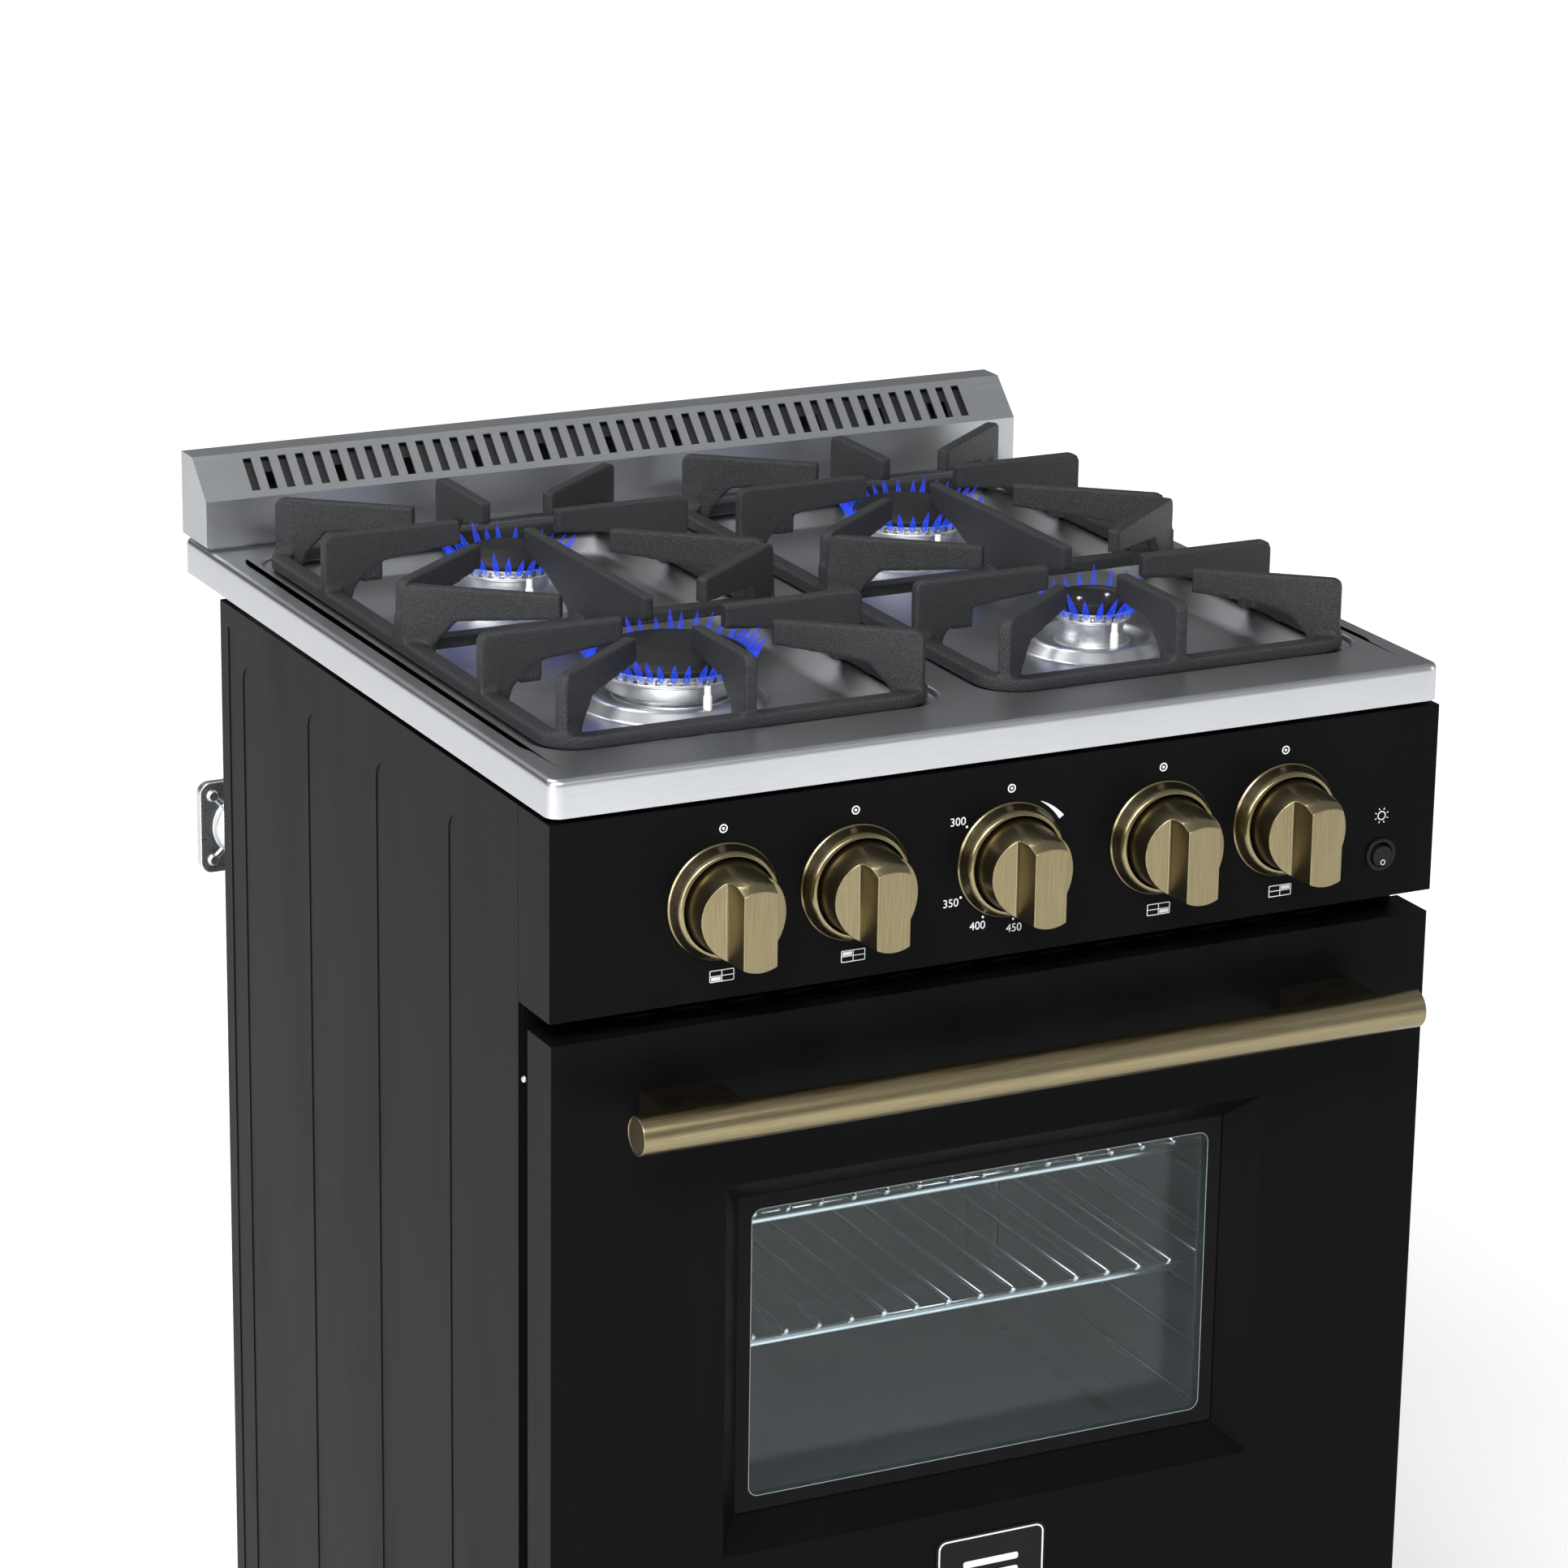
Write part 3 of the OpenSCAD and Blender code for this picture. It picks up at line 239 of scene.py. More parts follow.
def round_grain_group():
    """Brushed metal whose lines run round an axis that goes front to back through the centre."""
    def build(t, i):
        place = put(t, "ShaderNodeTexCoord").outputs["Object"]
        local = put(t, "ShaderNodeVectorMath", {0: place, 1: i["Centre"]}, operation="SUBTRACT").outputs[0]
        part = put(t, "ShaderNodeSeparateXYZ", {0: local})
        out = put(t, "ShaderNodeVectorMath", {0: local, 1: (1, 0, 1)}, operation="MULTIPLY").outputs[0]
        r = put(t, "ShaderNodeVectorMath", {0: out}, operation="LENGTH").outputs["Value"]
        spin = math_node(t, "ARCTAN2", part.outputs[0], part.outputs[2])
        where = put(t, "ShaderNodeCombineXYZ", {0: math_node(t, "MULTIPLY", r, 3600.0),
                                                1: math_node(t, "MULTIPLY", part.outputs[1], 3600.0),
                                                2: math_node(t, "MULTIPLY", spin, 1.2)}).outputs[0]
        lines = noise(t, where, 1.0, 4.0, 0.6)
        cloud = noise(t, place, 60.0, 3.0)
        share = math_node(t, "ADD", math_node(t, "MULTIPLY", lines, 0.8),
                          math_node(t, "MULTIPLY", cloud, 0.2), True)
        base = mix_colour(t, share, i["Dark"], i["Light"])
        rough = math_node(t, "ADD", i["Roughness"], math_node(t, "MULTIPLY", lines, 0.12))
        bump = put(t, "ShaderNodeBump", {"Strength": i["Depth"], "Distance": 0.0002, "Height": lines})
        return {"Color": base, "Roughness": rough, "Normal": bump.outputs[0]}
    inputs = [("Light", COLOUR, (1, 1, 1, 1)), ("Dark", COLOUR, (0.5, 0.5, 0.5, 1)),
              ("Centre", VECTOR, (0, 0, 0)), ("Roughness", FLOAT, 0.25), ("Depth", FLOAT, 0.1)]
    return shader_group("turned grain", inputs, SURFACE, build)


def enamel_group():
    """Baked enamel or paint: a fine orange peel, faint cleaning marks and dust, and optional flecks."""
    def build(t, i):
        place = put(t, "ShaderNodeTexCoord").outputs["Object"]
        peel = noise(t, place, 900.0, 2.0)
        wave = noise(t, place, 40.0, 2.0)
        wipe = span(t, noise(t, stretch(t, place, (18, 18, 4)), 1.0, 6.0, 0.65), 0.45, 0.75)
        cells = put(t, "ShaderNodeTexVoronoi", {"Vector": place, "Scale": 420.0})
        fleck = span(t, cells.outputs["Distance"], 0.10, 0.30, 1.0, 0.0)
        chance = put(t, "ShaderNodeSeparateColor", {0: cells.outputs["Color"]}).outputs[0]
        fleck = math_node(t, "MULTIPLY", fleck, math_node(t, "GREATER_THAN", chance, 0.62))
        fleck = math_node(t, "MULTIPLY", fleck, i["Flecks"])
        base = mix_colour(t, fleck, i["Color"], i["Fleck Color"])
        base = mix_colour(t, math_node(t, "MULTIPLY", wipe, 0.002), base, (0.35, 0.35, 0.36))
        rough = math_node(t, "ADD", i["Roughness"], math_node(t, "MULTIPLY", wipe, 0.10))
        rough = math_node(t, "ADD", rough, math_node(t, "MULTIPLY", peel, 0.06))
        height = math_node(t, "ADD", math_node(t, "MULTIPLY", peel, 0.35), wave)
        bump = put(t, "ShaderNodeBump", {"Strength": i["Peel"], "Distance": 0.0004, "Height": height})
        return {"Color": base, "Roughness": rough, "Normal": bump.outputs[0]}
    inputs = [("Color", COLOUR, (0.1, 0.1, 0.1, 1)), ("Fleck Color", COLOUR, (0.6, 0.62, 0.64, 1)),
              ("Flecks", FLOAT, 0.0), ("Roughness", FLOAT, 0.3), ("Peel", FLOAT, 0.08)]
    return shader_group("enamel", inputs, SURFACE, build)


def cast_group():
    """Sand-cast skin: pits and lumps under a matt enamel, worn paler on the tops."""
    def build(t, i):
        place = put(t, "ShaderNodeTexCoord").outputs["Object"]
        lumps = noise(t, place, i["Scale"], 4.0, 0.62)
        finer = math_node(t, "MULTIPLY", i["Scale"], 1.6)
        pits = put(t, "ShaderNodeTexVoronoi", {"Vector": place, "Scale": finer})
        pit = span(t, pits.outputs["Distance"], 0.0, 0.45, 0.0, 1.0)
        height = math_node(t, "ADD", lumps, math_node(t, "MULTIPLY", pit, 0.35))
        worn = span(t, lumps, 0.48, 0.72)
        base = mix_colour(t, math_node(t, "MULTIPLY", worn, i["Wear"]), i["Color"], i["Worn Color"])
        rough = math_node(t, "SUBTRACT", i["Roughness"], math_node(t, "MULTIPLY", worn, 0.14))
        bump = put(t, "ShaderNodeBump", {"Strength": i["Depth"], "Distance": 0.0011, "Height": height})
        return {"Color": base, "Roughness": rough, "Normal": bump.outputs[0]}
    inputs = [("Color", COLOUR, (0.03, 0.03, 0.03, 1)), ("Worn Color", COLOUR, (0.14, 0.145, 0.15, 1)),
              ("Wear", FLOAT, 0.5), ("Scale", FLOAT, 900.0), ("Roughness", FLOAT, 0.55),
              ("Depth", FLOAT, 0.7)]
    return shader_group("cast skin", inputs, SURFACE, build)


def skin(name, group, values, metallic=0.0, coat=0.0, coat_rough=0.1, **shader):
    """A material of a Principled BSDF fed by one group. Constants are set on the shader itself."""
    material = bpy.data.materials.new(name + "_finish")
    material.use_nodes = True
    tree = material.node_tree
    tree.nodes.clear()
    source = tree.nodes.new("ShaderNodeGroup")
    source.node_tree = group
    for key, value in values.items():
        source.inputs[key].default_value = (*value, 1.0) if source.inputs[key].type == "RGBA" else value
    bsdf = tree.nodes.new("ShaderNodeBsdfPrincipled")
    bsdf.inputs["Metallic"].default_value = metallic
    bsdf.inputs["Coat Weight"].default_value = coat
    bsdf.inputs["Coat Roughness"].default_value = coat_rough
    for key, value in shader.items():
        bsdf.inputs[key.replace("_", " ")].default_value = value
    tree.links.new(source.outputs["Color"], bsdf.inputs["Base Color"])
    tree.links.new(source.outputs["Roughness"], bsdf.inputs["Roughness"])
    tree.links.new(source.outputs["Normal"], bsdf.inputs["Normal"])
    out = tree.nodes.new("ShaderNodeOutputMaterial")
    tree.links.new(bsdf.outputs[0], out.inputs["Surface"])
    return material


def brushed(name, light, dark, stretch_by=(30, 3000, 3000), rough=0.22, depth=0.12, contrast=1.0):
    """Brushed metal with straight lines."""
    return skin(name, grain_group(), {"Light": light, "Dark": dark, "Stretch": stretch_by, "Roughness": rough,
                                      "Depth": depth, "Contrast": contrast}, metallic=1.0)


def turned(name, light, dark, centre, rough=0.24, depth=0.12):
    """Brushed metal with lines round an axis that runs front to back through centre."""
    values = {"Light": light, "Dark": dark, "Centre": centre, "Roughness": rough, "Depth": depth}
    return skin(name, round_grain_group(), values, metallic=1.0)


def painted(name, base, rough=0.3, peel=0.08, flecks=0.0, coat=0.0, **shader):
    """Enamel, paint or moulded plastic."""
    return skin(name, enamel_group(), {"Color": base, "Roughness": rough, "Peel": peel, "Flecks": flecks},
                coat=coat, **shader)


def scaled(value, by):
    """A colour made lighter or darker."""
    return tuple(c * by for c in value)


def cast(name, base, worn, wear, scale, rough, depth, **shader):
    """Cast metal, wool or a woven sleeve."""
    values = {"Color": base, "Worn Color": worn, "Wear": wear, "Scale": scale, "Roughness": rough,
              "Depth": depth}
    return skin(name, cast_group(), values, **shader)


def brushed_finishes():
    """Light tone, dark tone, stretch of the grain, roughness, depth and contrast of each brushed metal."""
    c = colours()
    brass, dark, steel = tuple(c.brass), tuple(c.brass_dark), tuple(c.steel)
    along_x, fine = (30, 3000, 3000), (900, 900, 900)
    return {
        "stainless_top": (steel, scaled(steel, 0.72), along_x, 0.23, 0.10),
        "guard_steel": ((0.50, 0.51, 0.52), (0.36, 0.37, 0.38), along_x, 0.30, 0.10),
        "plated_steel": ((0.50, 0.51, 0.52), (0.34, 0.35, 0.36), (40, 40, 40), 0.34, 0.10),
        "leg_steel": ((0.53, 0.54, 0.55), (0.40, 0.41, 0.42), (900, 900, 30), 0.30, 0.15),
        "rack_chrome": ((0.80, 0.81, 0.82), (0.66, 0.67, 0.68), fine, 0.12, 0.05),
        "aluminium": ((0.74, 0.75, 0.76), (0.55, 0.56, 0.57), fine, 0.30, 0.15),
        "valve_brass": ((0.60, 0.46, 0.20), (0.40, 0.29, 0.11), (400, 400, 400), 0.34, 0.15),
        "screw_steel": ((0.72, 0.73, 0.74), (0.50, 0.51, 0.52), (1500, 1500, 1500), 0.24, 0.10),
        "bronze": ((0.10, 0.082, 0.058), (0.035, 0.028, 0.019), (60, 60, 900), 0.34, 0.12),
        "antique_brass": (brass, dark, (3600, 3600, 40), 0.22, 0.05, 0.95),
        "handle_brass": (brass, dark, (30, 4200, 4200), 0.21, 0.04, 1.0),
    }


def painted_finishes():
    """Settings of each enamel, paint and moulded plastic."""
    c = colours()
    return {
        "black_enamel": {"base": tuple(c.enamel), "rough": 0.26, "peel": 0.03, "IOR": 1.10},
        "oven_enamel": {"base": tuple(c.oven), "rough": 0.38, "peel": 0.012, "flecks": 0.18},
        "ceramic": {"base": (0.80, 0.79, 0.74), "rough": 0.25, "peel": 0.05, "coat": 0.4},
        "black_plastic": {"base": (0.006, 0.006, 0.007), "rough": 0.16, "peel": 0.02, "IOR": 1.22},
        "badge": {"base": (0.005, 0.005, 0.006), "rough": 0.2, "peel": 0.03, "IOR": 1.2},
        "dark_duct": {"base": (0.012, 0.012, 0.013), "rough": 0.5, "peel": 0.1},
        "print_white": {"base": (0.62, 0.63, 0.63), "rough": 0.45, "peel": 0.05},
        "frit": {"base": (0.0025, 0.0025, 0.0028), "rough": 0.12, "peel": 0.01, "IOR": 1.15},
        "glass_edge": {"base": (0.16, 0.20, 0.19), "rough": 0.2, "peel": 0.01, "coat": 0.5},
    }


def cast_finishes():
    """Settings of each casting, of the oven's wool and of the door's gasket."""
    return {
        "gasket": {"base": (0.10, 0.095, 0.085), "worn": (0.22, 0.21, 0.19), "wear": 0.8, "scale": 700.0,
                   "rough": 0.9, "depth": 1.0},
        "mineral_wool": {"base": (0.62, 0.54, 0.28), "worn": (0.8, 0.74, 0.5), "wear": 0.9, "scale": 260.0,
                         "rough": 1.0, "depth": 1.0},
        "cap_enamel": {"base": (0.006, 0.0062, 0.0068), "worn": (0.02, 0.021, 0.023), "wear": 0.4,
                       "scale": 1900.0, "rough": 0.50, "depth": 0.18, "IOR": 1.3},
        "die_cast": {"base": (0.55, 0.56, 0.57), "worn": (0.72, 0.73, 0.74), "wear": 0.6, "scale": 600.0,
                     "rough": 0.36, "depth": 0.16, "metallic": 1.0},
        "cast_iron": {"base": tuple(colours().iron), "worn": (0.045, 0.047, 0.051), "wear": 0.8,
                      "scale": 1000.0, "rough": 0.50, "depth": 0.7, "Specular_IOR_Level": 0.35},
    }


MADE = {}


def make_finish(name):
    """A new material for a slot of the record or for one of the finer finishes."""
    if name == "door_glass":
        return pane(name)
    if name == "lamp_glass":
        return lamp_glass()
    if name in brushed_finishes():
        return brushed(name, *brushed_finishes()[name])
    if name in painted_finishes():
        return painted(name, **painted_finishes()[name])
    return cast(name, **cast_finishes()[name])


def finish(name):
    """The material of that name, made once."""
    if name not in MADE:
        MADE[name] = make_finish(name)
    return MADE[name]


def pane(name):
    """Clear glass with faint smears. Light passes straight through it on its way to the oven."""
    material = bpy.data.materials.new(name + "_finish")
    material.use_nodes = True
    tree = material.node_tree
    tree.nodes.clear()
    place = put(tree, "ShaderNodeTexCoord").outputs["Object"]
    smear = span(tree, noise(tree, stretch(tree, place, (8, 8, 30)), 1.0, 5.0, 0.6), 0.4, 0.8, 0.0, 0.06)
    tint = mix_colour(tree, smear, (0.90, 0.95, 0.96), (0.8, 0.84, 0.85))
    glass = put(tree, "ShaderNodeBsdfPrincipled", {"Roughness": smear, "Base Color": tint})
    glass.inputs["Metallic"].default_value = 0.0
    glass.inputs["Transmission Weight"].default_value = 1.0
    glass.inputs["IOR"].default_value = 1.22
    clear = put(tree, "ShaderNodeBsdfTransparent", {"Color": tint})
    ray = put(tree, "ShaderNodeLightPath")
    soft = math_node(tree, "MAXIMUM", ray.outputs["Is Shadow Ray"], ray.outputs["Is Diffuse Ray"])
    either = put(tree, "ShaderNodeMixShader", {0: soft, 1: glass.outputs[0], 2: clear.outputs[0]})
    put(tree, "ShaderNodeOutputMaterial", {"Surface": either.outputs[0]})
    return material


def lamp_glass():
    """The lit glass of the oven lamp."""
    material = bpy.data.materials.new("lamp_glass")
    material.use_nodes = True
    tree = material.node_tree
    bsdf = tree.nodes["Principled BSDF"]
    place = put(tree, "ShaderNodeTexCoord").outputs["Object"]
    tone = mix_colour(tree, noise(tree, place, 200.0), (0.9, 0.93, 1.0), (1.0, 1.0, 1.0))
    tree.links.new(tone, bsdf.inputs["Base Color"])
    tree.links.new(tone, bsdf.inputs["Emission Color"])
    bsdf.inputs["Emission Strength"].default_value = 0.7
    bsdf.inputs["Roughness"].default_value = 0.3
    return material


# ---- meshes ---------------------------------------------------------------------------------------

AXES = {
    "up": (Vector((1, 0, 0)), Vector((0, 1, 0)), Vector((0, 0, 1))),
    "front": (Vector((1, 0, 0)), Vector((0, 0, 1)), Vector((0, -1, 0))),
    "back": (Vector((-1, 0, 0)), Vector((0, 0, 1)), Vector((0, 1, 0))),
    "right": (Vector((0, 1, 0)), Vector((0, 0, 1)), Vector((1, 0, 0))),
    "left": (Vector((0, -1, 0)), Vector((0, 0, 1)), Vector((-1, 0, 0))),
}


def bridge(bm, a, b, closed=True):
    """Faces between two loops of the same number of vertices."""
    n = len(a)
    for i in range(n if closed else n - 1):
        j = (i + 1) % n
        corners = [a[i], a[j], b[j], b[i]]
        kept = [v for k, v in enumerate(corners) if v is not corners[k - 1]]
        if len(kept) > 2:
            bm.faces.new(kept)


def lathe(bm, profile, origin, way="up", n=64):
    """Adds a turned shape. Profile points are (radius, distance along the axis)."""
    side, other, axis = AXES[way]
    origin = Vector(origin)
    last = None
    for r, h in profile:
        at = origin + axis * h
        if r < 1e-7:
            ring = [bm.verts.new(at)] * n
        else:
            turns = [2 * math.pi * k / n for k in range(n)]
            ring = [bm.verts.new(at + (side * math.cos(t) + other * math.sin(t)) * r) for t in turns]
        if last:
            bridge(bm, last, ring)
        last = ring


def rounded(points, radius, steps=4):
    """The same open outline with its inner corners rounded. A radius may be given for each point."""
    out = [Vector(points[0])]
    for i in range(1, len(points) - 1):
        r = radius[i] if isinstance(radius, (list, tuple)) else radius
        a, b, c = (Vector(p) for p in points[i - 1:i + 2])
        back, ahead = a - b, c - b
        reach = min(r, 0.45 * back.length, 0.45 * ahead.length)
        p, q = b + back.normalized() * reach, b + ahead.normalized() * reach
        for k in range(steps + 1):
            t = k / steps
            out.append(p * (1 - t) ** 2 + b * 2 * t * (1 - t) + q * t * t)
    out.append(Vector(points[-1]))
    return out


def round_rect(cx, cy, half_w, half_l, r, n=8):
    """Points of a rectangle with round corners, anticlockwise."""
    out = []
    for k, (sx, sy) in enumerate(((1, 1), (-1, 1), (-1, -1), (1, -1))):
        for i in range(n + 1):
            a = math.pi / 2 * (k + i / n)
            out.append((cx + sx * (half_w - r) + r * math.cos(a), cy + sy * (half_l - r) + r * math.sin(a)))
    return out


def circle_points(cx, cy, r, n=48):
    """Points of a circle."""
    turns = [2 * math.pi * i / n for i in range(n)]
    return [(cx + r * math.cos(t), cy + r * math.sin(t)) for t in turns]


def fill(bm, loops):
    """Fills the flat space between an outer loop of vertices and its holes."""
    flat = [v for loop in loops for v in loop]
    for tri in tessellate_polygon([[v.co for v in loop] for loop in loops]):
        corners = [flat[i] for i in tri]
        if len(set(corners)) == 3:
            bm.faces.new(corners)


def prism(bm, loops, place, depth):
    """A plate of flat outlines, the first outside and the rest holes. place turns (u, v) to a point."""
    near = [[bm.verts.new(place(*p)) for p in loop] for loop in loops]
    far = [[bm.verts.new(v.co + depth) for v in loop] for loop in near]
    fill(bm, near)
    fill(bm, far)
    for a, b in zip(near, far):
        bridge(bm, a, b)


def box_into(bm, low, high, turn=None):
    """A box given by its corners, turned about its centre."""
    low, high = Vector(low), Vector(high)
    made = bmesh.ops.create_cube(bm, size=1.0)["verts"]
    shape = Matrix.Diagonal((*(high - low), 1.0))
    place = Matrix.Translation((low + high) / 2) @ (turn or Matrix())
    bmesh.ops.transform(bm, verts=made, matrix=place @ shape)


DOME = (0.45, 0.9, math.pi / 2)  # angles of the rings that dome a wire's end


def tube(bm, points, radius, sides=12, dome=True):
    """A round wire along a list of points, with domed ends."""
    points = [Vector(p) for p in points]
    heading = (points[1] - points[0]).normalized()
    up = heading.orthogonal().normalized()
    rings = []
    for i, p in enumerate(points):
        a = points[max(i - 1, 0)]
        b = points[min(i + 1, len(points) - 1)]
        new = (b - a).normalized()
        up = heading.rotation_difference(new) @ up
        heading = new
        across = heading.cross(up)
        stations = [(p, 1.0)]
        if dome and i == 0:
            stations = [(p + heading * radius * (1 - math.cos(t)), math.sin(t)) for t in DOME]
        if dome and i == len(points) - 1:
            stations = [(p - heading * radius * (1 - math.cos(t)), math.sin(t)) for t in reversed(DOME)]
        for at, share in stations:
            rings.append([bm.verts.new(at + (up * math.cos(2 * math.pi * k / sides)
                                             + across * math.sin(2 * math.pi * k / sides)) * radius * share)
                          for k in range(sides)])
    for a, b in zip(rings, rings[1:]):
        bridge(bm, a, b)
    bm.faces.new(rings[0])
    bm.faces.new(rings[-1])


def shade(bm, limit=32):
    """Smooth shading with sharp edges past an angle in degrees."""
    bmesh.ops.recalc_face_normals(bm, faces=bm.faces)
    for face in bm.faces:
        face.smooth = True
    for edge in bm.edges:
        edge.smooth = len(edge.link_faces) != 2 or edge.calc_face_angle(0) < math.radians(limit)


def piece(name, bm, body, slot, stands_for=(), look=None, limit=32):
    """Makes an object of a bmesh, gives it its finish and fixes it to its body."""
    shade(bm, limit)
    mesh = bpy.data.meshes.new(name)
    bm.to_mesh(mesh)
    bm.free()
    obj = bpy.data.objects.new(name, mesh)
    bpy.context.scene.collection.objects.link(obj)
    mesh.materials.append(finish(look or slot))
    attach(obj, body)
    if stands_for:
        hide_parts(*stands_for)
    return obj


def soft_shading():
    """Geometry nodes that shade a mesh smooth, with sharp edges past 40 degrees."""
    tree = bpy.data.node_groups.get("soft shading")
    if tree:
        return tree
    tree = bpy.data.node_groups.new("soft shading", "GeometryNodeTree")
    tree.interface.new_socket(name="Geometry", in_out="INPUT", socket_type="NodeSocketGeometry")
    tree.interface.new_socket(name="Geometry", in_out="OUTPUT", socket_type="NodeSocketGeometry")
    start = put(tree, "NodeGroupInput")
    plain = put(tree, "GeometryNodeRemoveAttribute", {"Geometry": start.outputs[0], "Name": "custom_normal"})
    faces = put(tree, "GeometryNodeSetShadeSmooth", {"Geometry": plain.outputs[0], "Shade Smooth": True})
    faces.domain = "FACE"
    angle = put(tree, "GeometryNodeInputMeshEdgeAngle")
    gentle = put(tree, "FunctionNodeCompare", {0: angle.outputs[0], 1: math.radians(40)})
    gentle.operation = "LESS_THAN"
    edges = put(tree, "GeometryNodeSetShadeSmooth", {"Geometry": faces.outputs[0],
                                                     "Shade Smooth": gentle.outputs[0]})
    edges.domain = "EDGE"
    put(tree, "NodeGroupOutput", {"Geometry": edges.outputs[0]})
    return tree


def soften(obj, width, segments=2, limit=30, weld=True, merge=True):
    """Rounds the edges of a piece or a node with modifiers, which leave its mesh as it is.

    weld joins the corners of the faces, and merge then makes one face of those that lie flat. A sheet
    with many holes keeps its faces apart."""
    if weld:
        obj.modifiers.new("weld", "WELD").merge_threshold = 1e-6
    if weld and merge:
        flat = obj.modifiers.new("flat", "DECIMATE")
        flat.decimate_type = "DISSOLVE"
        flat.angle_limit = math.radians(0.3)
    if width:
        edge = obj.modifiers.new("edge", "BEVEL")
        edge.width = width
        edge.segments = segments
        edge.limit_method = "ANGLE"
        edge.angle_limit = math.radians(limit)
        edge.use_clamp_overlap = False
        edge.miter_outer = "MITER_ARC"
    smooth = obj.modifiers.new("soft shading", "NODES")
    smooth.node_group = soft_shading()
    normals = obj.modifiers.new("normals", "WEIGHTED_NORMAL")
    normals.keep_sharp = True
    normals.weight = 80


def dress(node, look=None, width=0.0, segments=2, limit=30, merge=True):
    """Gives a node of the frame its finish and rounds its edges."""
    obj = NODES[node]
    slot = next(s["material_slot"] for s in frame["record"]["subparts"] if s["node"] == node)
    material = finish(look or slot)
    for s in obj.material_slots:
        s.material = material
    soften(obj, width, segments, limit, merge=merge)
    return obj


# ---- pieces ---------------------------------------------------------------------------------------


def burner_places():
    """Centre and cap radius of each burner: front left, rear left, rear right, front right."""
    inset = sizes().burner_inset
    caps = sizes().caps
    out = []
    for side, row, cap in ((0, 0, caps[0]), (0, 1, caps[1]), (1, 1, caps[2]), (1, 0, caps[3])):
        low, high = GRATES[side]
        out.append(((low.x + high.x) / 2, (high.y - inset) if row else (low.y + inset), cap))
    return out


def port_count(r):
    """Number of flame ports of a burner whose cap has that radius."""
    return max(12, round(sizes().ports * r / LARGE_CAP))


def contour(bm, cx, cy, half_w, half_l, r, z):
    """A loop of vertices on a rounded rectangle."""
    return [bm.verts.new((x, y, z)) for x, y in round_rect(cx, cy, half_w, half_l, r)]


class RANGE_OT_cooktop(bpy.types.Operator):
    """Build the pressed stainless cooktop with its two wells, four burner bosses and turned-down lip"""
    bl_idname = "range.cooktop"
    bl_label = "Cooktop"

    def execute(self, context):
        bm = bmesh.new()
        half_w, half_l = (top_high.x - top_low.x) / 2, (top_high.y - top_low.y) / 2
        cy = (top_low.y + top_high.y) / 2
        lip = rounded([(16 * MM, 0), (0, 0), (0, top_low.z - TOP_Z)], 4.5 * MM, 8)
        loops = [contour(bm, 0, cy, half_w - p.x, half_l - p.x, 9 * MM - min(p.x, 4 * MM), TOP_Z + p.y)
                 for p in lip]
        for a, b in zip(loops, loops[1:]):
            bridge(bm, a, b)
        flat = [loops[0]]
        deep = sizes().well_depth
        wall = rounded([(-9, 0), (0, 0), (0.7, -4), (16, -4), (34, -deep / MM), (42, -deep / MM)],
                       [0, 3.2, 1.6, 5.5, 8, 0], 5)
        for low, high in GRATES:
            cx, gy = (low.x + high.x) / 2, (low.y + high.y) / 2
            well_w, well_l = (high.x - low.x) / 2 + 5 * MM, (high.y - low.y) / 2 + 5 * MM
            loops = [contour(bm, cx, gy, well_w - p.x * MM, well_l - p.x * MM, (30 - 0.22 * p.x) * MM,
                             TOP_Z + p.y * MM) for p in wall]
            for a, b in zip(loops, loops[1:]):
                bridge(bm, a, b)
            flat.append(loops[0])
            floor = [loops[-1]]
            for bx, by, cap in burner_places():
                if abs(bx - cx) > 0.01:
                    continue
                r = 0.0316 + 0.6 * cap
                rise = rounded([(r + 4 * MM, 0), (r, 0), (r - 7 * MM, 8 * MM), (r - 12 * MM, 8 * MM),
                                (r - 18 * MM, 4 * MM), (r - 26 * MM, 4 * MM)], 3.2 * MM, 5)
                rings = [[bm.verts.new((x, y, TOP_Z - deep + p.y)) for x, y in circle_points(bx, by, p.x, 72)]
                         for p in rise]
                for a, b in zip(rings, rings[1:]):
                    bridge(bm, a, b)
                floor.append(rings[0])
            fill(bm, floor)
        fill(bm, flat)
        obj = piece("cooktop_sheet", bm, "root", "stainless_top", ["cooktop"], limit=50)
        up = sum(f.area for f in obj.data.polygons if f.normal.z > 0.9)
        down = sum(f.area for f in obj.data.polygons if f.normal.z < -0.9)
        if down > up:
            obj.data.flip_normals()
        thick = obj.modifiers.new("thick", "SOLIDIFY")
        thick.thickness = 0.9 * MM
        thick.offset = -1
        obj.modifiers.new("normals", "WEIGHTED_NORMAL").keep_sharp = True
        dress("backguard", "guard_steel", merge=False)
        dress("backguard_baffle", "dark_duct")
        return {"FINISHED"}


